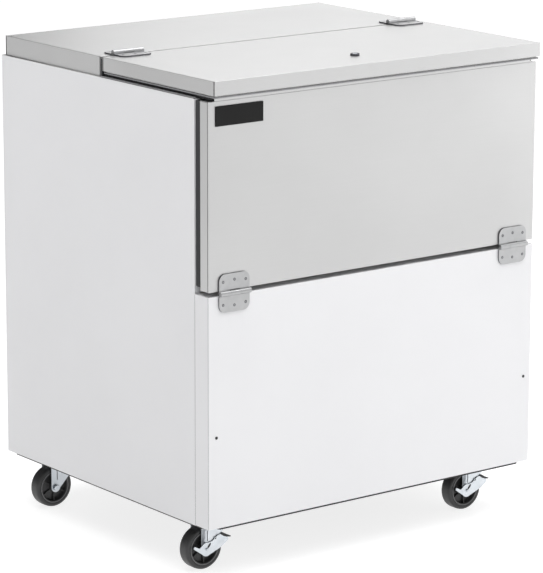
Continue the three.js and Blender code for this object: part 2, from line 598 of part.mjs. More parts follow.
function brakePedal(x, y) {
  const { trail, wheel } = CASTER;
  const inner = LEG_OUTER + 0.4;
  const outer = inner + 1.8;
  const cheek = new THREE.Shape();
  cheek.moveTo(-77, 42);
  cheek.lineTo(-56, 33);
  cheek.absarc(-trail, wheel, 15, Math.PI * 1.2, Math.PI * 1.7);
  cheek.lineTo(4, 44);
  cheek.lineTo(19, 54);
  cheek.lineTo(22, 59);
  cheek.lineTo(6, 72);
  cheek.lineTo(-6, 70);
  cheek.lineTo(-20, 58);
  cheek.absarc(-trail, wheel, 13, Math.PI * 0.4, Math.PI * 0.9);
  cheek.lineTo(-58, 46);
  cheek.lineTo(-77, 45.5);
  const sides = [alongY(cheek, [inner, outer], 5), alongY(cheek, [-outer, -inner], 5)];
  const pad = [[8, 67.5], [20, 57], [25, 60], [24.4, 62.6], [8, 73]];
  const hole = rod('y', 4.5, [-40, 40], [-trail, wheel], 16);
  return cut(fuse(...sides, alongY(pad, [-outer, outer])), hole).translate([x, y, 0]);
}

function casters() {
  const rows = [['front', FRONT + CASTER.inset], ['rear', BACK - CASTER.rearInset]];
  for (const [row, y] of rows) {
    for (const [word, side] of [['left', -1], ['right', 1]]) {
      const x = side * CASTER.x;
      add(`caster_plate_${row}_${word}`, casterPlate(x, y), zinc);
      add(`caster_fork_${row}_${word}`, casterFork(x, y), zinc);
      add(`caster_wheel_${row}_${word}`, casterWheel(x, y), tyre);
      if (row === 'front') add(`brake_pedal_${word}`, brakePedal(x, y), zinc);
    }
  }
}

// ---- the cooler ---------------------------------------------------------------------------
sidePanel('side_panel_left', -1);
sidePanel('side_panel_right', 1);
backOfCabinet();
baseOfCabinet();
lowerFrontPanel();
insulatedWell();
openingFrames();
rearCap();
rack('floor_rack', [-364, 364], [WELL_FRONT + 8, STEP_FRONT - 8], WELL_FLOOR, 13);
evaporator();
condensingUnit();
electrics();
hinges();
frontDoor();
lid();
lidLock();
casters();

export default cooler;
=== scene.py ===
"""Looks of the milk cooler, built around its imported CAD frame. Everything is in metres in the frame's own axes:
the floor is z = 0, the front door faces -Y, and +X is to the right as seen from the front."""
import json
import math

import bmesh
import bpy
from mathutils import Matrix, Vector
from mathutils.geometry import tessellate_polygon


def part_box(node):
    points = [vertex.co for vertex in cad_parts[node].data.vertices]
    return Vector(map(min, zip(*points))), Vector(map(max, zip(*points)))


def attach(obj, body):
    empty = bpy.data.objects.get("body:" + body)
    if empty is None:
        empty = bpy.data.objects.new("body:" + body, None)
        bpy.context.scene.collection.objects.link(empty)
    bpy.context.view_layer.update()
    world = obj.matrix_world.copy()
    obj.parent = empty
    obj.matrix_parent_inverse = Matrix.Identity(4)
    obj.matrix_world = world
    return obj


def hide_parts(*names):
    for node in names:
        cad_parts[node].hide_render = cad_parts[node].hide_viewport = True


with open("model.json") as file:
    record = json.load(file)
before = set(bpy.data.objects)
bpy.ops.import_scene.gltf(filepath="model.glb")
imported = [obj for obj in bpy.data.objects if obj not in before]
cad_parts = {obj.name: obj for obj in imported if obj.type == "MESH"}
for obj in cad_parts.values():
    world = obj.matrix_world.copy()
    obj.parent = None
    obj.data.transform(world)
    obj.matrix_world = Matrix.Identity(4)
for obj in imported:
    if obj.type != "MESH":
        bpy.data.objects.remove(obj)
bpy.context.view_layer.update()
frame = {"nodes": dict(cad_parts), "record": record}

MM = 0.001
SHEET = 1.2 * MM
TURN = 2 * math.pi


# ---- shaders
def preset(node, sockets):
    """Sets a node's sockets; an underscore stands for a space in a socket's name."""
    for socket, value in sockets.items():
        node.inputs[socket.replace("_", " ")].default_value = value


def add_node(tree, kind, **sockets):
    node = tree.nodes.new(f"ShaderNode{kind}")
    preset(node, sockets)
    return node


class Look:
    """A Principled material and short calls for the nodes that feed it."""

    def __init__(self, name, color, roughness, metallic=0.0, **sockets):
        self.material = bpy.data.materials.new(name)
        self.material.use_nodes = True
        self.tree = self.material.node_tree
        self.shader = self.tree.nodes["Principled BSDF"]
        preset(self.shader, {"Base Color": (*color, 1), "Roughness": roughness, "Metallic": metallic})
        preset(self.shader, sockets)
        self.coords = add_node(self.tree, "TexCoord").outputs["Object"]

    def link(self, source, node, socket):
        self.tree.links.new(source, node.inputs[socket])

    def noise(self, scale, stretch=(1, 1, 1), detail=3.0, rough=0.5):
        mapping = add_node(self.tree, "Mapping", Scale=stretch)
        self.link(self.coords, mapping, "Vector")
        node = add_node(self.tree, "TexNoise", Scale=scale, Detail=detail, Roughness=rough)
        self.link(mapping.outputs["Vector"], node, "Vector")
        return node.outputs["Fac"]

    def spread(self, value, low, high, start=0.3, end=0.7):
        """A number from low to high as value goes from start to end."""
        node = add_node(self.tree, "MapRange", From_Min=start, From_Max=end, To_Min=low, To_Max=high)
        self.link(value, node, "Value")
        return node.outputs["Result"]

    def tint(self, value, first, second, start=0.3, end=0.7):
        """A colour from first to second as value goes from start to end."""
        node = add_node(self.tree, "ValToRGB")
        for stop, position, color in zip(node.color_ramp.elements, (start, end), (first, second)):
            stop.position = position
            stop.color = (*color, 1)
        self.link(value, node, "Fac")
        return node.outputs["Color"]

    def color(self, value):
        self.link(value, self.shader, "Base Color")

    def roughness(self, value):
        self.link(value, self.shader, "Roughness")

    def bump(self, value, strength, distance):
        """Adds relief on top of any that is there."""
        node = add_node(self.tree, "Bump", Strength=strength, Distance=distance)
        self.link(value, node, "Height")
        before = self.shader.inputs["Normal"]
        if before.is_linked:
            self.link(before.links[0].from_socket, node, "Normal")
        self.link(node.outputs["Normal"], self.shader, "Normal")


def brushed(name, shade, roughness, grain):
    """Sheet steel with a fine polished grain that runs along one axis, and faint handling marks."""
    look = Look(name, (shade, shade, shade * 1.01), roughness, 1.0)
    across = {"x": (1, 60, 60), "y": (60, 1, 60), "z": (60, 60, 1)}[grain]
    lines = look.noise(9, across, 4)
    marks = look.noise(3.2, detail=5, rough=0.6)
    both = add_node(look.tree, "Math")
    both.operation = "MULTIPLY_ADD"
    look.link(lines, both, 0)
    both.inputs[1].default_value = 0.6
    faint = look.spread(marks, 0.0, 0.4, 0.35, 0.65)
    look.link(faint, both, 2)
    look.roughness(look.spread(both.outputs[0], roughness - 0.04, roughness + 0.05, 0.25, 0.8))
    look.color(look.tint(lines, [shade * 0.985] * 3, [shade * 1.012] * 3))
    look.bump(lines, 0.06, 0.04 * MM)
    return look.material


def painted(name, shade, roughness, peel=0.12):
    """Powder coat: a soft orange peel, slightly uneven gloss, and a trace of handling."""
    look = Look(name, shade, roughness, Coat_Weight=0.12, Coat_Roughness=0.25)
    marks = look.noise(2.6, detail=6, rough=0.62)
    look.color(look.tint(marks, [c * 0.975 for c in shade], shade, 0.3, 0.62))
    look.roughness(look.spread(marks, roughness + 0.06, roughness - 0.04))
    look.bump(look.noise(420, detail=2), peel, 0.08 * MM)
    look.bump(look.noise(35, detail=1), 0.03, 0.2 * MM)
    return look.material


def moulded(name, shade, roughness, grain=900, depth=0.25, spread=0.12, **sockets):
    """Moulded plastic or rubber with a fine surface grain and uneven sheen."""
    look = Look(name, shade, roughness, **sockets)
    cloud = look.noise(14, detail=5)
    look.color(look.tint(cloud, [c * (1 - spread) for c in shade], [c * (1 + spread) for c in shade]))
    look.roughness(look.spread(cloud, roughness - 0.07, roughness + 0.08))
    look.bump(look.noise(grain, detail=2), depth, 0.06 * MM)
    return look.material


def plated(name, first, second, roughness):
    """Bright zinc plate: cool and warm clouds, fine pitting."""
    look = Look(name, first, roughness, 1.0)
    cloud = look.noise(26, detail=5, rough=0.6)
    look.color(look.tint(cloud, first, second))
    look.roughness(look.spread(look.noise(90, detail=4), roughness - 0.08, roughness + 0.12))
    look.bump(look.noise(700, detail=2), 0.12, 0.05 * MM)
    return look.material


MATERIAL = {name: kind(name, *values) for name, kind, *values in (
    ("white_paint", painted, (0.80, 0.80, 0.815), 0.40),
    ("stainless", brushed, 0.555, 0.44, "x"),
    ("liner_steel", brushed, 0.66, 0.42, "x"),
    ("gasket_rubber", moulded, (0.035, 0.035, 0.038), 0.62),
    ("foam", moulded, (0.72, 0.62, 0.36), 0.9, 260, 0.8),
    ("white_plastic", moulded, (0.78, 0.78, 0.77), 0.42, 700, 0.15, 0.02),
    ("black_paint", moulded, (0.02, 0.02, 0.022), 0.45),
    ("black_plastic", moulded, (0.014, 0.014, 0.015), 0.42),
    ("zinc", plated, (0.60, 0.64, 0.68), (0.68, 0.71, 0.74), 0.35),
    # Zinc plate like the casters' but darker: painted shade on the hinges.
    ("hinge_steel", plated, (0.41, 0.415, 0.42), (0.46, 0.46, 0.465), 0.36),
    ("tyre", moulded, (0.034, 0.034, 0.035), 0.42, 500, 0.3, 0.3),
    ("fins", brushed, 0.62, 0.38, "z"),
    ("black_cast", moulded, (0.022, 0.022, 0.024), 0.5, 220, 0.5),
    # Dark steel for the lock barrel; on the hinge leaves' cut edges the same dark is painted shade.
    ("dark_steel", plated, (0.10, 0.10, 0.11), (0.16, 0.16, 0.17), 0.35),
    ("copper", plated, (0.72, 0.36, 0.22), (0.80, 0.44, 0.28), 0.32),
    # Lighter grey than the tyre: a painted highlight on the wheel's glossy bead.
    ("glossy_rim", moulded, (0.12, 0.12, 0.123), 0.28),
    # Grey plastic, made darker for painted shade: the breaker strip and the rim strips sit in shade under the
    # lid.
    ("grey_plastic", moulded, (0.25, 0.25, 0.26), 0.5, 700, 0.15, 0.03),
    # Near black: painted shade for seams and grooves, where there is only shade.
    ("sealant", moulded, (0.02, 0.02, 0.021), 0.7),
    ("dull_label", plated, (0.60, 0.60, 0.60), (0.70, 0.70, 0.70), 0.45))}
MATERIAL["badge"] = moulded("badge", (0.008, 0.008, 0.008), 0.55, Specular_IOR_Level=0.2)


def slot_of(node):
    """The record's material slot of a CAD node."""
    return next(part["material_slot"] for part in frame["record"]["subparts"] if part["node"] == node)


# ---- mesh tools
# Outlines are lists of (u, v) points, laid across an axis: u and v are the other two, in x, y, z order.
ACROSS = {"x": (1, 2, 0), "y": (0, 2, 1), "z": (0, 1, 2)}


def lay(points, axis, station):
    """An outline's points in space, at one station on the axis."""
    first, second, along = ACROSS[axis]
    laid = []
    for u, v in points:
        point = [0.0, 0.0, 0.0]
        point[first], point[second], point[along] = u, v, station
        laid.append(Vector(point))
    return laid


def arc(u, v, radius, start, sweep, steps):
    """Points on an arc; start and sweep are parts of a full turn."""
    angles = [TURN * (start + sweep * k / steps) for k in range(steps + 1)]
    return [(u + radius * math.cos(a), v + radius * math.sin(a)) for a in angles]


def rectangle(u0, v0, u1, v1, radius=0.0, steps=4):
    if radius <= 0:
        return [(u0, v0), (u1, v0), (u1, v1), (u0, v1)]
    corners = ((u1, v0, -1, 1, -0.25), (u1, v1, -1, -1, 0), (u0, v1, 1, -1, 0.25), (u0, v0, 1, 1, 0.5))
    points = []
    for u, v, du, dv, start in corners:
        points += arc(u + du * radius, v + dv * radius, radius, start, 0.25, steps)
    return points


def circle(u, v, radius, count=32):
    angles = [TURN * k / count for k in range(count)]
    return [(u + radius * math.cos(a), v + radius * math.sin(a)) for a in angles]


def rounded(points, radius, steps=4, closed=False):
    """The same line with an arc at each corner."""
    count = len(points)
    line = []
    for i, here in enumerate(points):
        if not closed and i in (0, count - 1):
            line.append(here)
            continue
        corner = Vector(here)
        back = Vector(points[i - 1]) - corner
        ahead = Vector(points[(i + 1) % count]) - corner
        half = back.angle(ahead) / 2
        reach = min(radius / math.tan(half), back.length * 0.49, ahead.length * 0.49)
        start, end = corner + back.normalized() * reach, corner + ahead.normalized() * reach
        for k in range(steps + 1):
            t = k / steps
            line.append(tuple(start.lerp(corner, t).lerp(corner.lerp(end, t), t)))
    return line


def quarter(inset0, level0, inset1, level1, steps=4, bulge_first=True):
    """Points of a quarter ellipse from one (inset, level) to another, both ends included."""
    points = []
    for k in range(steps + 1):
        a = TURN / 4 * k / steps
        s, c = (math.sin(a), 1 - math.cos(a)) if bulge_first else (1 - math.cos(a), math.sin(a))
        points.append((inset0 + (inset1 - inset0) * c, level0 + (level1 - level0) * s))
    return points


def skin(bm, loops, closed=True, first=False, last=False, ring=False):
    """Faces between loops of equal length, with a cap on the first or last, or the last joined to the first."""
    rows = [[bm.verts.new(p) for p in loop] for loop in loops]
    pairs = list(zip(rows, rows[1:])) + ([(rows[-1], rows[0])] if ring else [])
    for low, high in pairs:
        count = len(low)
        for i in range(count if closed else count - 1):
            j = (i + 1) % count
            bm.faces.new((low[i], low[j], high[j], high[i]))
    if first:
        bm.faces.new(rows[0][::-1])
    if last:
        bm.faces.new(rows[-1])


def nest(rect, profile, axis, corner=0.0, steps=4):
    """Rectangles one above another: the profile gives each one's inset from rect and its station."""
    u0, v0, u1, v1 = rect
    loops = []
    for inset, station in profile:
        inner = max(corner - inset, 0.4 * MM) if corner else 0.0
        ring = rectangle(u0 + inset, v0 + inset, u1 - inset, v1 - inset, inner, steps)
        loops.append(lay(ring, axis, station))
    return loops


def loft(bm, rect, profile, axis, corner=0.0, **ends):
    skin(bm, nest(rect, profile, axis, corner), **ends)


def prism(bm, points, axis, low, high):
    skin(bm, [lay(points, axis, low), lay(points, axis, high)], first=True, last=True)


def plate(bm, outer, holes, axis, low, high):
    """A flat plate with holes through it."""
    rings = [outer, *holes]
    near, far = [[bm.verts.new(p) for ring in rings for p in lay(ring, axis, at)] for at in (low, high)]
    for corners in tessellate_polygon([lay(ring, axis, low) for ring in rings]):
        for level in (near, far):
            bm.faces.new([level[i] for i in corners])
    start = 0
    for ring in rings:
        end = start + len(ring)
        for i in range(start, end):
            j = i + 1 if i + 1 < end else start
            bm.faces.new((near[i], near[j], far[j], far[i]))
        start = end


def lathe(bm, profile, axis, centre, count=32, ring=False):
    """A turned shape: the profile gives (radius, station), and a radius of 0 closes an end."""
    loops = [lay(circle(*centre, max(r, 0.01 * MM), count), axis, station) for r, station in profile]
    skin(bm, loops, first=not ring, last=not ring, ring=ring)


def sheet(bm, line, axis, low, high):
    """A line pushed along an axis into an open surface."""
    skin(bm, [lay(line, axis, low), lay(line, axis, high)], closed=False)


def add_bevel(piece, width, segments=2):
    bevel = piece.modifiers.new("edges", "BEVEL")
    bevel.width = width
    bevel.segments = segments
    bevel.limit_method = "ANGLE"
    bevel.angle_limit = math.radians(35)
    bevel.harden_normals = True


def settle(bm, sharp):
    """Merges the mesh, turns its faces outwards, and marks the edges that stay crisp."""
    bmesh.ops.remove_doubles(bm, verts=bm.verts, dist=0.003 * MM)
    bmesh.ops.recalc_face_normals(bm, faces=bm.faces)
    for face in bm.faces:
        face.smooth = True
    for edge in bm.edges:
        edge.smooth = len(edge.link_faces) != 2 or edge.calc_face_angle(0) < math.radians(sharp)


def make(name, bm, look, body, stands_for=(), bevel=0.0, segments=2, thick=0.0, sharp=38):
    """Turns a bmesh into a piece that rides on a body. thick makes a sheet of it, grown inwards. look is one
    material or a list of them."""
    settle(bm, sharp)
    mesh = bpy.data.meshes.new(name)
    bm.to_mesh(mesh)
    bm.free()
    looks = [look] if isinstance(look, str) else look
    for entry in looks:
        mesh.materials.append(MATERIAL[entry])
    piece = bpy.data.objects.new(name, mesh)
    bpy.context.scene.collection.objects.link(piece)
    if thick:
        solid = piece.modifiers.new("sheet", "SOLIDIFY")
        solid.thickness = abs(thick)
        solid.offset = -1 if thick > 0 else 1
        solid.use_even_offset = True
    if bevel:
        add_bevel(piece, bevel, segments)
    level = piece.modifiers.new("level_faces", "WEIGHTED_NORMAL")
    level.keep_sharp = True
    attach(piece, body)
    if stands_for:
        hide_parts(*stands_for)


def wire(name, paths, radius, look, cyclic=False):
    """Round wires or tubes along paths of points, fixed to the cabinet."""
    curve = bpy.data.curves.new(name, "CURVE")
    curve.dimensions = "3D"
    curve.bevel_depth = radius
    curve.bevel_resolution = 3
    curve.use_fill_caps = True
    for path in paths:
        spline = curve.splines.new("POLY")
        spline.points.add(len(path) - 1)
        for point, spot in zip(spline.points, path):
            point.co = (*spot, 1)
        spline.use_cyclic_u = cyclic
        spline.use_smooth = True
    curve.materials.append(MATERIAL[look])
    piece = bpy.data.objects.new(name, curve)
    bpy.context.scene.collection.objects.link(piece)
    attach(piece, "cabinet")


# ---- places, from the frame
def span(node):
    """A CAD node's box as x0, y0, z0, x1, y1, z1."""
    low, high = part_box(node)
    return (*low, *high)


def middle(box, axis):
    """The centre of a box as seen along an axis."""
    first, second, _ = ACROSS[axis]
    return (box[first] + box[first + 3]) / 2, (box[second] + box[second + 3]) / 2


# ---- cabinet panels
BEND = 1.2 * MM


def side_panel(side):
    """A white side with returns at the front and back, and a flange turned in at the foot."""
    name = f"side_panel_{side}"
    x0, y0, z0, x1, y1, z1 = span(name)
    outer, lip = (x0, x1) if side == "left" else (x1, x0)
    bm = bmesh.new()
    line = rounded([(lip, y0), (outer, y0), (outer, y1), (lip, y1)], BEND)
    sheet(bm, line, "z", z0, z1)
    inward = -1 if outer > lip else 1
    foot = z0 + 0.1 * MM
    flange = [(outer + inward * SHEET, foot), (outer + inward * 16 * MM, foot)]
    sheet(bm, flange, "y", y0 + 2 * MM, y1 - 2 * MM)
    make(f"{name}_skin", bm, "white_paint", "cabinet", [name], thick=SHEET)


def grooved_edge(face, back, wide, inset=0.0):
    """Inset and station from a pan's open side to its face, with a narrow groove just behind the face."""
    near, far, depth = face + BEND, face + BEND + wide, 2.0 * MM
    return [(inset, back), (inset, far), (depth, far), (depth, near), *quarter(0, near, BEND, face, 3)]


def paint_groove_shade(bm, face, wide):
    """Gives the groove behind a pan's face the second material, a near-black colour that paints the shade in the
    groove.
    """
    for flat in bm.faces:
        depth = flat.calc_center_median().y - face - BEND
        if -0.01 * MM < depth < wide + 0.01 * MM:
            flat.material_index = 1


def lower_front():
    x0, y0, z0, x1, y1, z1 = span("lower_front_panel")
    bm = bmesh.new()
    wide = 0.7 * MM
    loft(bm, (x0, z0, x1, z1), grooved_edge(y0, y1 - 0.9 * MM, wide), "y", corner=1.2 * MM, last=True)
    # The groove's walls take the near-black second material: painted shade in the seam.
    paint_groove_shade(bm, y0, wide)
    make("lower_front_panel_skin", bm, ["white_paint", "sealant"], "cabinet", ["lower_front_panel"],
         thick=0.8 * MM)


def cross(u, v, r, h):
    """A plus-shaped outline with arms that reach r and are 2 h wide."""
    arms = [(r, h), (h, h), (h, r), (-h, r), (-h, h), (-r, h),
            (-r, -h), (-h, -h), (-h, -r), (h, -r), (h, -h), (r, -h)]
    return [(u + du, v + dv) for du, dv in arms]


def screw_head(bm, axis, centre, radius, seat, top):
    """A low domed head with a cross recess; the recess floor takes the second material, whose colour paints the
    shade in the recess.
    """
    tall = top - seat
    floor, rim, shoulder = seat + tall * 0.4, seat + tall * 0.45, seat + tall * 0.8
    recess = cross(*centre, radius * 0.5, radius * 0.15)
    plate(bm, circle(*centre, radius * 0.72, 20), [recess], axis, floor, top)
    lathe(bm, [(radius, seat), (radius, rim), (radius * 0.9, shoulder), (radius * 0.71, top),
               (radius * 0.71, rim), (radius * 0.71, seat)], axis, centre, 20, ring=True)
    before = set(bm.faces)
    lathe(bm, [(radius * 0.7, seat), (radius * 0.7, floor)], axis, centre, 20)
    for face in set(bm.faces) - before:
        face.material_index = 1


def panel_screws():
    for side in ("left", "right"):
        name = f"panel_screw_{side}"
        box = span(name)
        x0, y0, z0, x1, y1, z1 = box
        bm = bmesh.new()
        screw_head(bm, "y", middle(box, "y"), (x1 - x0) / 2, y1, y0)
        make(f"{name}_head", bm, ["black_paint", "black_paint"], "cabinet", [name])


# ---- folded stainless tops
def folded_top(node, body):
    """A flat top with four skirts folded down, open in a narrow slit at each corner, hemmed below."""
    x0, y0, z0, x1, y1, z1 = span(node)
    radius, relief, hem = 0.8 * MM, 3.8 * MM, 9 * MM
    bm = bmesh.new()
    bends = quarter(radius, z1, 0, z1 - radius, 3, bulge_first=False)
    foot = quarter(0, z0 + radius * 0.6, radius * 0.6, z0, 3)
    profile = [*bends, *foot, (hem, z0)]
    skin(bm, [lay(rectangle(x0 + radius, y0 + radius, x1 - radius, y1 - radius), "z", z1)], last=True)
    for near, far, low, high, across in ((y0, 1, x0, x1, False), (y1, -1, x0, x1, False),
                                         (x0, 1, y0, y1, True), (x1, -1, y0, y1, True)):
        rows = []
        for inset, z in profile:
            cut = max(inset, relief if across else 0.25 * MM)
            ends = (low + cut, high - cut)
            edge = near + far * inset
            rows.append([Vector((edge, e, z)) if across else Vector((e, edge, z)) for e in ends])
        skin(bm, rows, closed=False)
    make(f"{node}_folded", bm, "stainless", body, [node], thick=SHEET)


def bar(name, low, high, look, body, bevel=0.3 * MM):
    """A straight strip from one corner to the other."""
    bm = bmesh.new()
    prism(bm, rectangle(low[0], low[1], high[0], high[1]), "z", low[2], high[2])
    make(name, bm, look, body, bevel=bevel)


def seam_strips():
    """Strips in the seams: near-black ones beside the lower panel, behind the lid and on the base, which paint
    the shade in those gaps, a steel lip over the door, and grey ones under the lid, darkened for painted shade.
    """
    panel, skin_box, cap = span("lower_front_panel"), span("door_skin"), span("rear_top_cap")
    rim, tray = span("top_rim"), span("base_tray")
    notch, edge = 24 * MM, 3 * MM
    # Near-black strips in the seams beside the lower panel: painted shade in the gap.
    for name, side in (("left", -1), ("right", 1)):
        near, far = sorted((side * (panel[3] - 3 * MM), side * (panel[3] - 0.25 * MM)))
        bar(f"jamb_shade_strip_{name}", (near, panel[4] - 0.9 * MM, panel[2] + 1 * MM),
            (far, panel[4] + 0.25 * MM, panel[5] - 2 * MM), "sealant", "cabinet", 0.1 * MM)
    x0, y0, z0, x1, y1, z1 = skin_box
    bar("door_top_lip", (x0 + 16 * MM, y0 + 0.5 * MM, z1 - 0.2 * MM),
        (x1 - 16 * MM, y0 + 2.5 * MM, z1 + 5.5 * MM), "stainless", "front_door")
    x0, y0, z0, x1, y1, z1 = cap
    # A black strip filling the seam between the lid and the rear cap: painted shade in the gap.
    bar("cap_seam_shade_strip", (x0 + 0.5 * MM, y0 - 5 * MM, z0 + 2 * MM),
        (x1 - 0.5 * MM, y0 - 0.1 * MM, z1 - 5 * MM), "gasket_rubber", "cabinet")
    for name, side in (("left", -1), ("right", 1)):
        near, far = sorted((side * (rim[3] - 7.5 * MM), side * rim[3]))
        # Grey strips on the rim under the lid, darkened for painted shade.
        bar(f"rim_shade_strip_{name}", (near, rim[1], rim[5]), (far, cap[1] - 1 * MM, rim[5] + 2.2 * MM),
            "grey_plastic", "cabinet")
        # Near-black strips round the base tray: painted shade under the cabinet.
        near, far = sorted((side * tray[3], side * (tray[3] + edge)))
        bar(f"base_shade_strip_{name}", (near, tray[1] + notch, tray[2]), (far, tray[4] - notch, tray[5]),
            "sealant", "cabinet")
    bar("base_shade_strip_front", (tray[0] + notch, tray[1] - edge, tray[2]), (tray[3] - notch, tray[1], tray[5]),
        "sealant", "cabinet")


# ---- front door
def door():
    x0, y0, z0, x1, y1, z1 = span("door_skin")
    step = 0.5 * MM
    fold = quarter(step + 1.5 * MM, y1, step, y1 - 1.5 * MM, 3, bulge_first=False)
    wide = 2.5 * MM
    profile = [(9 * MM, y1), *fold, *grooved_edge(y0, y1 - 2 * MM, wide, step)]
    bm = bmesh.new()
    loft(bm, (x0, z0, x1, z1), profile, "y", corner=1.6 * MM, last=True)
    # The groove's walls take the near-black second material: painted shade in the seam.
    paint_groove_shade(bm, y0, wide)
    make("door_skin_sheet", bm, ["stainless", "sealant"], "front_door", ["door_skin"], thick=0.8 * MM)


def dished_liner(node, body, axis, border, plug, levels):
    """A vacuum-formed liner: its border loops, then a rounded plug with a shallow dish in its middle."""
    x0, y0, z0, x1, y1, z1 = span(node)
    outer = (x0, z0, x1, z1) if axis == "y" else (x0, y0, x1, y1)
    seat, raised = levels
    up = 1 if raised > seat else -1
    soft, wall, dish = 6 * MM, 34 * MM, 5 * MM
    over_plug = [*quarter(-soft, seat, 0, seat + up * soft, 4, bulge_first=False),
                 *quarter(0, raised - up * soft, soft, raised, 4), (wall, raised),
                 *quarter(wall, raised, wall + dish, raised - up * dish, 4)]
    bm = bmesh.new()
    loops = nest(outer, border, axis, 2 * MM, 6) + nest(plug, over_plug, axis, 24 * MM, 6)
    skin(bm, loops, first=True, last=True)
    make(f"{node}_formed", bm, "white_plastic", body, [node])


def liners():
    """The plastic inner faces of the door, the lid and the fixed rear cap, and the lid's breaker strip."""
    x0, y0, z0, x1, y1, z1 = span("door_liner")
    seat = y0 + 26.9 * MM
    edge = 1.5 * MM
    border = [(0, y0), *quarter(0, seat - edge, edge, seat, 3)]
    plug = (-366 * MM, 646 * MM, 366 * MM, 960 * MM)
    dished_liner("door_liner", "front_door", "y", border, plug, (seat, y1))
    x0, y0, z0, x1, y1, z1 = span("lid_liner")
    recess, seat = 3 * MM, 994.3 * MM
    shoulder = span("lid_skin")[2] + 0.5 * MM
    border = [(recess, z1), (recess, shoulder), (5 * MM, shoulder), (5 * MM, seat)]
    plug = (-360 * MM, -302.5 * MM, 360 * MM, -24.5 * MM)
    dished_liner("lid_liner", "lid", "z", border, plug, (seat, z0))
    # The breaker strip is grey, darkened for painted shade under the lid's skirt.
    low, high, near, far = 993.4 * MM, 996.2 * MM, 1.2 * MM, 9 * MM
    strip = [(near, low), (near, high), (far, high), (far, low)]
    bm = bmesh.new()
    loft(bm, (x0, y0, x1, y1), strip, "z", corner=3 * MM, ring=True)
    make("lid_breaker_strip", bm, "grey_plastic", "lid", bevel=0.5 * MM)
    x0, y0, z0, x1, y1, z1 = span("rear_cap_core")
    seat = span("rear_top_cap")[2]
    plug = (-369.5 * MM, 39.5 * MM, 369.5 * MM, 321.5 * MM)
    dished_liner("rear_cap_core", "cabinet", "z", [(recess, z1), (recess, seat)], plug, (seat, z0))


def bellows(node, body, axis, pleats):
    """A magnetic gasket: a soft strip with pleated sides, swept round the opening with mitred corners."""
    x0, y0, z0, x1, y1, z1 = span(node)
    low, high = (y0, y1) if axis == "y" else (z0, z1)
    rect = (x0, z0, x1, z1) if axis == "y" else (x0, y0, x1, y1)
    width, fold, step = 22 * MM, 1.6 * MM, 0.6 * MM
    last = 2 * pleats
    levels = [low + (high - low) * k / last for k in range(last + 1)]
    folds = [fold if k % 2 else 0.0 for k in range(last + 1)]
    outer = [(folds[k] + (step if k in (0, last) else 0), z) for k, z in enumerate(levels)]
    inner = [(width - folds[k], z) for k, z in enumerate(levels)][::-1]
    bm = bmesh.new()
    loft(bm, rect, [*outer, *inner], axis, corner=2 * MM, ring=True)
    make(f"{node}_pleated", bm, "gasket_rubber", body, [node], bevel=0.25 * MM)


def nameplate():
    x0, y0, z0, x1, y1, z1 = span("nameplate")
    bm = bmesh.new()
    edge = 0.5 * MM
    loft(bm, (x0, z0, x1, z1), [(0, y1), (0, y0 + edge), *quarter(0, y0 + edge, edge, y0, 3)], "y",
         corner=1.4 * MM, first=True, last=True)
    make("nameplate_blank", bm, "badge", "front_door", ["nameplate"])


# ---- butt hinges
HINGE = {"width": 76 * MM, "leaf": 39.5 * MM, "plate": 3.0 * MM, "knuckle": 5.5 * MM, "rise": 5.7 * MM,
         "pin": 2.3 * MM, "corner": 15 * MM, "lift": 0.3 * MM}
SCREWS = ((-28 * MM, 23.5 * MM), (0.0, 26.3 * MM), (28 * MM, 23.5 * MM))


def knuckle(bm, low, high):
    """One rolled barrel of sheet, tangent to the leaf it is rolled from."""
    outer, wall, rise = HINGE["knuckle"], HINGE["plate"], HINGE["rise"]
    start = -math.asin(min(1, (rise - HINGE["lift"]) / outer))
    sweep = TURN * 0.88
    count = 22
    arcs = [start + sweep * k / count for k in range(count + 1)]
    section = [(outer * math.cos(a), rise + outer * math.sin(a)) for a in arcs]
    section += [((outer - wall) * math.cos(a), rise + (outer - wall) * math.sin(a)) for a in arcs[::-1]]
    prism(bm, section, "x", low, high)


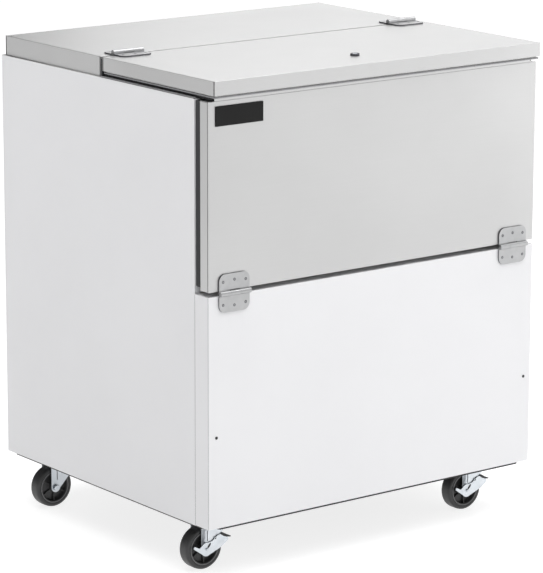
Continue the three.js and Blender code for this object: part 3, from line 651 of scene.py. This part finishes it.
def hinge_leaf(name, node, body, basis, spot, fixed):
    """One leaf in its own frame: the pin along X, the leaf towards +Y, +Z away from the surface.
    The fixed leaf has the middle knuckle and the pin. The leaf's cut edges take a dark colour that paints the
    shade along them, its screws are darker, and the screws' recess floors are black for painted shade."""
    bm = bmesh.new()
    half, leaf, corner = HINGE["width"] / 2, HINGE["leaf"], HINGE["corner"]
    low, high = HINGE["lift"], HINGE["lift"] + HINGE["plate"]
    third = half / 3
    own = [(-third, third)] if fixed else [(-half, -third), (third, half)]
    cleared, joined = HINGE["knuckle"] + 0.9 * MM, 3.2 * MM
    ends, centre = (cleared, joined) if fixed else (joined, cleared)
    outline = [(-half, ends), (-third, ends), (-third, centre), (third, centre), (third, ends), (half, ends)]
    outline += arc(half - corner, leaf - corner, corner, 0.0, 0.25, 6)
    outline += arc(-half + corner, leaf - corner, corner, 0.25, 0.25, 6)
    prism(bm, outline, "z", low, high)
    # The leaf's cut edges take the dark material: painted shade along the edges.
    for face in bm.faces:
        face.normal_update()
        if abs(face.normal.z) < 0.5:
            face.material_index = 1
    for start, end in own:
        knuckle(bm, start + 0.25 * MM, end - 0.25 * MM)
    bmesh.ops.bevel(bm, geom=[e for e in bm.edges if e.calc_face_angle(0) > math.radians(50)],
                    offset=0.35 * MM, segments=2, affect="EDGES", clamp_overlap=True)
    before = set(bm.faces)
    for u, v in SCREWS:
        screw_head(bm, "z", (u, v), 3.1 * MM, high - 0.2 * MM, high + 0.25 * MM)
    for face in set(bm.faces) - before:
        face.material_index += 1
    if fixed:
        end = half + 0.6 * MM
        pin = HINGE["pin"]
        lathe(bm, [(pin * 0.6, -end), (pin, -end + 0.7 * MM), (pin, end - 0.7 * MM), (pin * 0.6, end)], "x",
              (0, HINGE["rise"]), 16)
    matrix = Matrix(basis).transposed().to_4x4()
    matrix.translation = Vector(spot)
    bm.transform(matrix)
    make(name, bm, ["hinge_steel", "dark_steel", "black_plastic"], body, [node])


def hinges():
    """Two pairs: the lid's fixed leaves lie behind its seam, and the door's below its seam."""
    lid_high, cap_low, door_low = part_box("lid_skin")[1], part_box("rear_top_cap")[0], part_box("door_skin")[0]
    seam = (lid_high.y + cap_low.y) / 2
    back, front = ((1, 0, 0), (0, 1, 0), (0, 0, 1)), ((-1, 0, 0), (0, -1, 0), (0, 0, 1))
    lower, upper = ((-1, 0, 0), (0, 0, -1), (0, -1, 0)), ((1, 0, 0), (0, 0, 1), (0, -1, 0))
    for side in ("left", "right"):
        pair = f"lid_hinge_{side}"
        low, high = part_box(f"{pair}_fixed")
        spot = ((low.x + high.x) / 2, seam, lid_high.z)
        hinge_leaf(f"{pair}_rear_leaf", f"{pair}_fixed", "cabinet", back, spot, True)
        hinge_leaf(f"{pair}_front_leaf", f"{pair}_leaf", "lid", front, spot, False)
        pair = f"door_hinge_{side}"
        low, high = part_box(f"{pair}_fixed")
        spot = ((low.x + high.x) / 2, door_low.y, high.z - HINGE["knuckle"])
        hinge_leaf(f"{pair}_lower_leaf", f"{pair}_fixed", "cabinet", lower, spot, True)
        hinge_leaf(f"{pair}_upper_leaf", f"{pair}_leaf", "front_door", upper, spot, False)


# ---- lid lock
def lid_lock():
    """The lock's turned barrel, sunk a little into the lid, and its plug with a keyhole and the cam below."""
    box = span("lock_barrel")
    x0, y0, z0, x1, y1, z1 = box
    centre = middle(box, "z")
    head, body, bore, proud, soft = (x1 - x0) / 2, 8.6 * MM, 5.4 * MM, 5.0 * MM, 1.6 * MM
    lower = 2.2 * MM
    z1 -= lower
    profile = [(bore, z0), (body, z0), (body, z1 - proud), (head, z1 - proud), (head, z1 - soft),
               *quarter(head, z1 - soft, head - soft, z1, 4), (bore + 1.2 * MM, z1), (bore, z1 - 1 * MM)]
    bm = bmesh.new()
    lathe(bm, profile, "z", centre, 40, ring=True)
    make("lock_barrel_turned", bm, "dark_steel", "lid", ["lock_barrel"])
    x0, y0, z0, x1, y1, z1 = span("lock_plug")
    z1 -= lower
    plug, face, cam = bore - 0.4 * MM, 2.5 * MM, 3 * MM
    keyhole = [(centre[0] + u, centre[1] + v) for u, v in rectangle(-0.8 * MM, -3.4 * MM, 0.8 * MM, 3.4 * MM)]
    bm = bmesh.new()
    plate(bm, circle(*centre, plug, 28), [keyhole], "z", z1 - face, z1)
    lathe(bm, [(plug, z0 + 2 * MM), (plug, z1 - face)], "z", centre, 28)
    prism(bm, rounded(rectangle(x0, y0, x1, y1), 3 * MM, closed=True), "z", z0, z0 + cam)
    make("lock_plug_and_cam", bm, "zinc", "lock_cylinder", ["lock_plug"], bevel=0.2 * MM)


# ---- CAD nodes that stay
def soften(node):
    """Keeps a CAD node and gives it rounded edges and its slot's material."""
    piece = frame["nodes"][node]
    piece.data.materials.clear()
    piece.data.materials.append(MATERIAL[slot_of(node)])
    for polygon in piece.data.polygons:
        polygon.use_smooth = True
    weld = piece.modifiers.new("weld", "WELD")
    weld.merge_threshold = 0.02 * MM
    flat = piece.modifiers.new("flat", "DECIMATE")
    flat.decimate_type = "DISSOLVE"
    flat.angle_limit = math.radians(1)
    add_bevel(piece, 0.5 * MM)


# ---- inside the well
def well_liner():
    """A one-piece liner with coved corners, open at the top and through the front."""
    x0, y0, z0, x1, y1, z1 = span("inner_liner")
    wall, cove = SHEET, 11 * MM
    front, step, shelf, sill = -266.5 * MM, 90.5 * MM, 500 * MM, 636.2 * MM
    outline = [(front, z0 + wall), (step, z0 + wall), (step, shelf), (y1 - wall, shelf), (y1 - wall, z1),
               (y0, z1), (y0, sill), (front, sill)]
    bm = bmesh.new()
    prism(bm, outline, "x", x0 + wall, x1 - wall)

    def at_top(vert):
        return vert.co.z > z1 - 0.1 * MM

    def at_front(vert):
        return vert.co.y < y0 + 0.1 * MM

    coved = [edge for edge in bm.edges if not all(at_top(vert) or at_front(vert) for vert in edge.verts)]
    bmesh.ops.bevel(bm, geom=coved, offset=cove, segments=4, affect="EDGES", profile=0.5)
    mouths = [face for face in bm.faces if all(map(at_top, face.verts)) or all(map(at_front, face.verts))]
    bmesh.ops.delete(bm, geom=mouths, context="FACES")
    make("well_liner", bm, "liner_steel", "cabinet", ["inner_liner"], thick=-0.9 * MM)


def guard(name, centre, station, reach, rings, spokes):
    """A round fan guard of welded wire."""
    u, v = centre
    hoops = [lay(circle(u, v, reach * (k + 1) / rings, 48), "y", station) for k in range(rings)]
    wire(f"{name}_rings", hoops, 0.9 * MM, "zinc", cyclic=True)
    rods = [lay([centre, tip], "y", station + 1.6 * MM) for tip in circle(u, v, reach, spokes)]
    wire(f"{name}_spokes", rods, 1.2 * MM, "zinc")


def fan_blades(fan, centre, reach, hub):
    """A moulded fan: a domed hub and five curved, twisted blades."""
    node, blades = f"{fan}_rotor", 5
    x0, y0, z0, x1, y1, z1 = span(node)
    mid, deep = (y0 + y1) / 2, (y1 - y0) / 2
    bm = bmesh.new()
    lathe(bm, [(hub, y1), (hub, y0 + 4 * MM), *quarter(hub, y0 + 4 * MM, 0, y0, 5)[1:]], "y", centre, 32)
    across, along = 7, 6
    for index in range(blades):
        grid = []
        for j in range(along + 1):
            t = j / along
            radius = hub * 0.94 + (reach - hub * 0.94) * t
            pitch = math.radians(34 - 14 * t)
            chord = (0.30 + 0.34 * math.sin(math.pi * min(1, t * 0.8 + 0.12))) * reach
            row = []
            for i in range(across + 1):
                s = i / across - 0.5
                camber = 0.10 * chord * (1 - 4 * s * s)
                lean = TURN * index / blades + 0.22 * t + s * chord * math.cos(pitch) / radius
                depth = max(-deep, min(deep, s * chord * math.sin(pitch) * 0.8 + camber - 0.06 * chord))
                row.append(Vector((centre[0] + radius * math.cos(lean), mid + depth,
                                   centre[1] + radius * math.sin(lean))))
            grid.append(row)
        skin(bm, grid, closed=False)
    make(f"{fan}_blades", bm, "black_plastic", fan, [node], thick=SHEET, sharp=50)


# ---- back of the cabinet
def louvre_hood(bm, x0, x1, low, high, face, proud):
    """A pressed louvre: a curved hood over a slot, closed at both ends, open below."""
    rows = []
    steps, ends, width = 5, 3, 7 * MM
    rise = [width * (k / ends) for k in range(ends + 1)]
    for x in [x0 + reach for reach in rise] + [x1 - reach for reach in rise[::-1]]:
        side = min(1.0, min(x - x0, x1 - x) / width)
        height = proud * math.sin(TURN / 4 * side)
        row = []
        for k in range(steps + 1):
            a = TURN / 4 * k / steps
            row.append(Vector((x, face + height * math.sin(a), high - (high - low) * (1 - math.cos(a)))))
        rows.append(row)
    skin(bm, rows, closed=False)


def rear_grille():
    """The louvred rear cover, with holes for the dial and the cord gland."""
    x0, y0, z0, x1, y1, z1 = span("machine_grille")
    dial_spot, gland_spot = middle(span("thermostat_knob"), "y"), middle(span("power_cord_gland"), "y")
    bm = bmesh.new()
    hoods = bmesh.new()
    slots = []
    rows, pitch, slot = 10, 26 * MM, 9 * MM
    first, column_pitch = 154 * MM, 262 * MM
    for column in (-column_pitch, 0.0, column_pitch):
        for row in range(rows):
            z = first + row * pitch
            left, right = column - 115 * MM, column + 115 * MM
            if column > 0 and z < gland_spot[1] + 24 * MM:
                right = left + 150 * MM
            if column < 0 and z > dial_spot[1] - 34 * MM:
                left = right - 120 * MM
            slots.append(rectangle(left, z, right, z + slot, 3 * MM, 3))
            louvre_hood(hoods, left - 2 * MM, right + 2 * MM, z - 1 * MM, z + slot + 3 * MM, y1, 6 * MM)
    holes = [circle(*gland_spot, 11.5 * MM, 28), circle(*dial_spot, 24 * MM, 40)]
    plate(bm, rectangle(x0, z0, x1, z1, 2 * MM), [*slots, *holes], "y", y0, y1)
    make("rear_grille_sheet", bm, "white_paint", "cabinet", ["machine_grille"])
    make("rear_grille_louvres", hoods, "white_paint", "cabinet", thick=-0.8 * MM, sharp=60)
    heads = bmesh.new()
    for x in (x0 + 9 * MM, x0 / 2, 4 * MM, x1 / 2, x1 - 9 * MM):
        for z in (z0 + 9 * MM, z1 - 9 * MM):
            screw_head(heads, "y", (x, z), 4.2 * MM, y1, y1 + 1.9 * MM)
    # black_plastic paints the shade in the screws' cross recesses.
    make("rear_grille_screws", heads, ["zinc", "black_plastic"], "cabinet")


def rear_seams():
    """Screws and a blank data plate on the foamed back panel."""
    x0, y0, z0, x1, y1, z1 = span("back_panel")
    heads = bmesh.new()
    for x in (x0 + 26 * MM, x1 - 26 * MM):
        for k in range(4):
            screw_head(heads, "y", (x, z0 + 30 * MM + k * (z1 - z0 - 60 * MM) / 3), 3.8 * MM, y1, y1 + 1.1 * MM)
    # black_plastic paints the shade in the screws' cross recesses.
    make("back_panel_screws", heads, ["zinc", "black_plastic"], "cabinet")
    bm = bmesh.new()
    spot = (-330 * MM, 700 * MM, -240 * MM, 760 * MM)
    loft(bm, spot, [(0, y1), (0, y1 + 0.35 * MM), *quarter(0, y1 + 0.35 * MM, 0.3 * MM, y1 + 0.6 * MM, 2)], "y",
         corner=3 * MM, first=True, last=True)
    make("blank_data_plate", bm, "dull_label", "cabinet")


def cord_gland():
    """A hexagonal nut with a domed cap round the bore."""
    box = span("power_cord_gland")
    x0, y0, z0, x1, y1, z1 = box
    centre = middle(box, "y")
    bm = bmesh.new()
    prism(bm, circle(*centre, 14.5 * MM, 6), "y", y0 + 2 * MM, y1 - 1.8 * MM)
    bore, neck = 5 * MM, 10.6 * MM
    dome = [(bore, y0 + 1 * MM), (neck, y0 + 1 * MM), (neck, y1 - 4 * MM),
            *quarter(neck, y1 - 4 * MM, bore + 1.2 * MM, y1, 5), (bore, y1 - 1 * MM)]
    lathe(bm, dome, "y", centre, 36, ring=True)
    make("cord_gland_body", bm, "black_plastic", "cabinet", ["power_cord_gland"], bevel=0.4 * MM)


def thermostat():
    """A fluted knob with a pointer, and a scale of plain marks round it."""
    box = span("thermostat_knob")
    x0, y0, z0, x1, y1, z1 = box
    centre = middle(box, "y")
    face = span("control_box")[4]
    radius, shaft, flute = (x1 - x0) / 2, 4 * MM, 0.9 * MM
    flutes, count = 18, 144
    top, base = y1 - 1.4 * MM, face + 0.3 * MM
    angles = [TURN * k / count for k in range(count)]
    rings = ((shaft, 0, base - 15 * MM), (shaft, 0, base), (radius, 0, base), (radius, 0, base + 1.6 * MM),
             (radius * 0.86, flute, base + 2.6 * MM), (radius * 0.82, flute, top - 1.2 * MM),
             (radius * 0.76, 0, top), (radius * 0.6, 0, top + 0.2 * MM))
    loops = []
    for size, depth, y in rings:
        reach = [size - depth * (0.5 - 0.5 * math.cos(flutes * a)) for a in angles]
        points = [(centre[0] + r * math.cos(a), centre[1] + r * math.sin(a)) for r, a in zip(reach, angles)]
        loops.append(lay(points, "y", y))
    bm = bmesh.new()
    skin(bm, loops, first=True, last=True)
    make("thermostat_dial_knob", bm, "black_plastic", "thermostat_dial", ["thermostat_knob"])
    bm = bmesh.new()
    mark = rectangle(centre[0] - 0.8 * MM, centre[1] + radius * 0.2, centre[0] + 0.8 * MM,
                     centre[1] + radius * 0.74, 0.5 * MM)
    prism(bm, mark, "y", top, top + 0.5 * MM)
    make("thermostat_pointer", bm, "white_plastic", "thermostat_dial")
    bm = bmesh.new()
    marks, scale = 11, 22.4 * MM
    for k in range(marks):
        a = TURN * (0.25 - k * 0.075)
        along, across = (math.cos(a), math.sin(a)), (-math.sin(a), math.cos(a))
        reach, half = (1.1 * MM, 0.35 * MM) if k % 5 else (1.3 * MM, 0.6 * MM)
        ring = [tuple(centre[i] + along[i] * (scale + p * reach) + across[i] * q * half for i in (0, 1))
                for p, q in ((1, 1), (-1, 1), (-1, -1), (1, -1))]
        prism(bm, ring, "y", face, face + 0.2 * MM)
    make("thermostat_scale_marks", bm, "white_plastic", "cabinet")


def rear_tubing():
    """Copper lines from the compressor to the condenser and to the wall of the well."""
    def bends(origin, *steps):
        return [Vector(origin) + Vector(step) * MM for step in steps]

    shell, coil = span("compressor"), span("condenser_coil")
    shoulder = (shell[3], (shell[1] + shell[4]) / 2, shell[2])
    discharge = bends(shoulder, (-30, 20, 150), (-6, 24, 158), (18, 26, 190), (30, 22, 250))
    discharge += bends((coil[0], coil[1], coil[5]), (-20, 10, -24), (4, 14, -22))
    suction = bends(shoulder, (-34, -24, 120), (-4, -30, 130), (14, -36, 200), (10, -40, 290), (-20, -44, 318))
    parts = 6
    for name, path, radius in (("discharge_line", discharge, 3.2 * MM), ("suction_line", suction, 4.8 * MM)):
        smooth = []
        for k in range((len(path) - 1) * parts + 1):
            i, t = divmod(k, parts)
            t /= parts
            before, a, b, after = (path[min(max(i + step, 0), len(path) - 1)] for step in (-1, 0, 1, 2))
            smooth.append(0.5 * (2 * a + (b - before) * t + (2 * before - 5 * a + 4 * b - after) * t * t
                                 + (3 * a - before - 3 * b + after) * t ** 3))
        wire(name, [smooth], radius, "copper")


# ---- casters
TRAIL = 34 * MM


def caster_wheel(corner):
    """A moulded wheel: hub, ribbed web, rim and rounded tread, and a glossy bead on each side of the rim,
    coloured lighter grey than the tyre for a painted highlight.
    """
    node = f"caster_wheel_{corner}"
    box = span(node)
    x0, y0, z0, x1, y1, z1 = box
    centre = middle(box, "y")
    mid, radius, hub = (y0 + y1) / 2, (z1 - z0) / 2, (y1 - y0) / 2
    half, bore = 15 * MM, 4.6 * MM
    bm = bmesh.new()
    rim, tread, wall = 31.5 * MM, 39.5 * MM, half - 0.3 * MM
    outside = [(bore, hub), (9.5 * MM, hub), (10.5 * MM, hub - 0.8 * MM), (11.5 * MM, 7 * MM),
               (13 * MM, 6 * MM), (28.5 * MM, 5 * MM), (30.5 * MM, 7 * MM),
               *quarter(rim, half - 1.6 * MM, 33.5 * MM, half - 0.2 * MM, 3), (36 * MM, half - 0.2 * MM),
               (36.6 * MM, half - 1.2 * MM), (37.4 * MM, half - 0.4 * MM),
               *quarter(tread, wall, radius - 0.3 * MM, half - 5.5 * MM, 4, bulge_first=False),
               (radius, half - 9 * MM)]
    profile = [(r, mid + h) for r, h in outside] + [(r, mid - h) for r, h in outside[::-1]]
    lathe(bm, profile, "y", centre, 56, ring=True)
    ribs, origin = 6, Vector((centre[0], mid, centre[1]))
    for k in range(ribs):
        a = TURN * (k + 0.5) / ribs
        along, across = Vector((math.cos(a), 0, math.sin(a))), Vector((-math.sin(a), 0, math.cos(a)))
        for side in (-1, 1):
            rows = []
            for reach, height in ((10.5, 12.0), (20, 9.5), (31, 11.8)):
                section = ((1.4, 4.5), (0.9, height), (-0.9, height), (-1.4, 4.5))
                spot = origin + along * reach * MM
                rows.append([spot + across * u * MM + Vector((0, side * v * MM, 0)) for u, v in section])
            skin(bm, rows, first=True, last=True)
    make(f"{node}_moulded", bm, "tyre", f"wheel_{corner}", [node])
    bm = bmesh.new()
    for side in (-1, 1):
        edge = mid + side * (half - 0.2 * MM)
        bead = ((32.9, -0.5), (33.4, 0.25), (35.4, 0.25), (35.9, -0.5))
        lathe(bm, [(r * MM, edge + side * proud * MM) for r, proud in bead], "y", centre, 56, ring=True)
    make(f"{node}_bead", bm, "glossy_rim", f"wheel_{corner}")


def caster_fork(corner):
    """A pressed fork: two tapered legs with a slit, round at the axle, under a bent crown with a ball race."""
    node = f"caster_fork_{corner}"
    x0, y0, z0, x1, y1, crown = span(node)
    wheel = span(f"caster_wheel_{corner}")
    hub_x, axle = middle(wheel, "y")
    eye, inner, thick = 11 * MM, 17.3 * MM, 2.5 * MM
    outer, bend, shoulder = inner + thick, 6 * MM, crown - 9 * MM
    leg = [(-TRAIL - eye, shoulder), *arc(-TRAIL, axle, eye, 0.5, 0.46, 12), (2 * MM, crown - 26 * MM),
           (15 * MM, shoulder)]
    slit = rectangle(-TRAIL + 2.6 * MM, axle + 16 * MM, -TRAIL + 4.6 * MM, crown - 11 * MM, 0.9 * MM)
    bm = bmesh.new()
    for near, far in ((-outer, -inner), (inner, outer)):
        plate(bm, leg, [slit], "y", near, far)
    over = rounded([(-outer, shoulder), (-outer, crown), (outer, crown), (outer, shoulder)], bend, 5)
    under = [(inner, shoulder), (inner, crown - thick), (-inner, crown - thick), (-inner, shoulder)]
    prism(bm, over + rounded(under, bend - thick, 5), "x", -TRAIL - eye, 15 * MM)
    race, step = 5.6 * MM, 0.6 * MM
    lathe(bm, [(race, crown - thick - step), (23 * MM, crown - thick - step), (25 * MM, crown - 2 * MM),
               (25 * MM, crown - step), (23.5 * MM, crown), (race, crown)], "z", (0, 0), 40, ring=True)
    bolt, shank = outer + 4.4 * MM, 3.2 * MM
    head = shank if "front" in corner else 6.8 * MM
    lathe(bm, [(shank, -bolt), (shank, bolt)], "y", (-TRAIL, axle), 20)
    lathe(bm, [(head, -outer - 2.8 * MM), (head, -outer - 4.6 * MM), (head - 1.2 * MM, -outer - 5.9 * MM),
               (0, -outer - 6 * MM)], "y", (-TRAIL, axle), 24)
    prism(bm, circle(-TRAIL, axle, 7 * MM, 6), "y", outer + 2.8 * MM, outer + 6.6 * MM)
    bmesh.ops.translate(bm, verts=bm.verts, vec=(hub_x + TRAIL, (y0 + y1) / 2, 0))
    make(f"{node}_pressed", bm, "zinc", f"caster_{corner}", [node], bevel=0.35 * MM)


def brake_pedal(side):
    """Two pressed cheeks round the fork, with a wing behind the axle and a thin black foot pad in front; the
    cheeks' slot and eyelet are filled with black, which paints the shade seen through them.
    """
    node, body = f"brake_pedal_{side}", f"pedal_{side}"
    x0, y0, z0, x1, y1, z1 = span(node)
    hub_x, axle = middle(span(f"caster_wheel_front_{side}"), "y")
    pivot = hub_x + TRAIL
    thick = 1.8 * MM
    under, over = [[(-34 + reach * math.cos(TURN * a), 45 + reach * math.sin(TURN * a)) for a in parts]
                   for reach, parts in ((15, (0.6, 0.66, 0.72, 0.78, 0.85)), (14, (0.2, 0.26, 0.32, 0.37)))]
    cheek = [(-67, 51), (-56, 43), *under, (4, 44), (19, 54), (22, 59), (6, 72), (-6, 70), (-20, 60), *over,
             (-52, 49), (-65, 56)]
    tongue = ((2, 70), (8, 66), (16, 62.6), (27, 61), (27.4, 63), (17, 67), (8, 73), (3, 73))
    cheek, tongue = ([(pivot + u * MM, v * MM) for u, v in line] for line in (cheek, tongue))
    cheek = rounded(cheek, 3 * MM, 3, closed=True)
    tilt = TURN * 0.14
    slot = [(pivot - 28 * MM + u * math.cos(tilt) - v * math.sin(tilt),
             axle + 7 * MM + u * math.sin(tilt) + v * math.cos(tilt))
            for u, v in ((6.6 * MM * u, 2.7 * MM * v) for u, v in circle(0, 0, 1, 20))]
    eyelet = circle(pivot - 12 * MM, 65 * MM, 2.4 * MM, 16)
    bm = bmesh.new()
    dark = bmesh.new()
    for near, far in ((y0, y0 + thick), (y1 - thick, y1)):
        plate(bm, cheek, [slot, eyelet], "y", near, far)
        # Black fills in the slot and eyelet: painted shade seen through the holes.
        for hole in (slot, eyelet):
            prism(dark, hole, "y", near + 0.4 * MM, far - 0.4 * MM)
    make(f"{node}_pressed", bm, "zinc", body, [node], bevel=0.3 * MM)
    make(f"{node}_hole_shade_fills", dark, "black_plastic", body)
    bm = bmesh.new()
    prism(bm, rounded(tongue, 1.5 * MM, 3, closed=True), "y", y0 - 0.4 * MM, y1 + 0.4 * MM)
    make(f"brake_pad_{side}", bm, "black_plastic", body, bevel=0.8 * MM, segments=3)


# ---- the cooler's pieces
def fans():
    """The evaporator fan in its cover, with a wire guard, and the condenser fan behind its shroud."""
    cover = span("evaporator_cover")
    evaporator, condenser = (0.0, 808 * MM), (170 * MM, 262 * MM)
    fan_blades("evaporator_fan", evaporator, 86 * MM, 16 * MM)
    guard("evaporator_guard", evaporator, cover[1] - 1.2 * MM, 100 * MM, 8, 4)
    fan_blades("condenser_fan", condenser, 106 * MM, 18 * MM)


def build():
    for side in ("left", "right"):
        side_panel(side)
    lower_front()
    panel_screws()
    folded_top("lid_skin", "lid")
    folded_top("rear_top_cap", "cabinet")
    seam_strips()
    door()
    liners()
    bellows("door_gasket", "front_door", "y", 4)
    bellows("lid_gasket", "lid", "z", 2)
    nameplate()
    hinges()
    lid_lock()
    well_liner()
    fans()
    rear_grille()
    rear_seams()
    cord_gland()
    thermostat()
    rear_tubing()
    for corner in ("front_left", "front_right", "rear_left", "rear_right"):
        caster_wheel(corner)
        caster_fork(corner)
    for side in ("left", "right"):
        brake_pedal(side)


for node in frame["nodes"]:
    soften(node)
shrink = frame["nodes"]["foam_insulation"].modifiers.new("behind_the_skins", "DISPLACE")
shrink.strength = -7 * MM
shrink.mid_level = 0
build()


# ---- stage
def area_light(name, spot, target, size, power):
    light = bpy.data.lights.new(name, "AREA")
    light.shape = "RECTANGLE"
    light.size, light.size_y = size
    light.energy = power
    lamp = bpy.data.objects.new(name, light)
    lamp.location = spot
    lamp.rotation_euler = (Vector(target) - Vector(spot)).to_track_quat("-Z", "Y").to_euler()
    lamp.visible_camera = False
    bpy.context.scene.collection.objects.link(lamp)


def floor():
    mesh = bpy.data.meshes.new("floor")
    half = 40
    corners = [(-half, -half, 0), (half, -half, 0), (half, half, 0), (-half, half, 0)]
    mesh.from_pydata(corners, [], [(0, 1, 2, 3)])
    look = Look("pale_floor", (0.35, 0.35, 0.35), 0.7)
    look.color(look.tint(look.noise(0.8, detail=4), (0.34, 0.34, 0.34), (0.36, 0.36, 0.36)))
    preset(look.shader, {"Emission Color": (1, 1, 1, 1)})
    reach = add_node(look.tree, "VectorMath")
    reach.operation = "LENGTH"
    look.link(look.coords, reach, 0)
    look.link(look.spread(reach.outputs["Value"], 0.8, 0.97, 1.2, 4.0), look.shader, "Emission Strength")
    mesh.materials.append(look.material)
    piece = bpy.data.objects.new("floor", mesh)
    bpy.context.scene.collection.objects.link(piece)


def studio():
    """A soft white room that is brighter in front, seen as plain white, and five large soft lamps."""
    world = bpy.data.worlds.new("studio")
    world.use_nodes = True
    tree = world.node_tree
    room = tree.nodes["Background"]
    slope = add_node(tree, "VectorMath")
    slope.operation = "DOT_PRODUCT"
    slope.inputs[1].default_value = (-0.0435, -0.2495, -0.07)
    strength = add_node(tree, "Math")
    strength.operation = "ADD"
    strength.inputs[1].default_value = 0.254
    preset(room, {"Color": (1, 1, 1, 1)})
    backdrop = add_node(tree, "Background", Color=(1, 1, 1, 1))
    mix = add_node(tree, "MixShader")
    for source, output, target, socket in (
            (add_node(tree, "TexCoord"), "Generated", slope, 0), (slope, "Value", strength, 0),
            (strength, "Value", room, "Strength"), (add_node(tree, "LightPath"), "Is Camera Ray", mix, "Fac"),
            (room, "Background", mix, 1), (backdrop, "Background", mix, 2),
            (mix, "Shader", tree.nodes["World Output"], "Surface")):
        tree.links.new(source.outputs[output], target.inputs[socket])
    bpy.context.scene.world = world
    area_light("right", (3.4, -3.0, 1.5), (0, -0.2, 0.6), (3.0, 2.6), 17.5)
    area_light("right_near", (2.6, -1.2, 1.3), (0.2, 0, 0.6), (2.2, 2.2), 10.0)
    area_light("left", (-3.4, -0.6, 1.6), (0, 0, 0.6), (2.6, 2.6), 5.0)
    area_light("ceiling", (0.2, -0.2, 3.6), (0, 0, 0), (4.5, 4.5), 200)
    area_light("back", (2.9, 2.9, 2.0), (0.2, 0, 1.0), (2.6, 2.2), 27.5)


def camera():
    data = bpy.data.cameras.new("camera")
    data.sensor_width = 36
    data.lens = 203.12
    piece = bpy.data.objects.new("camera", data)
    piece.location = (-4.1209, -5.4004, 2.0600)
    piece.rotation_euler = (math.radians(76.978), math.radians(-0.133), math.radians(-37.355))
    bpy.context.scene.collection.objects.link(piece)
    bpy.context.scene.camera = piece


floor()
studio()
camera()
bpy.context.scene.view_settings.view_transform = "Standard"
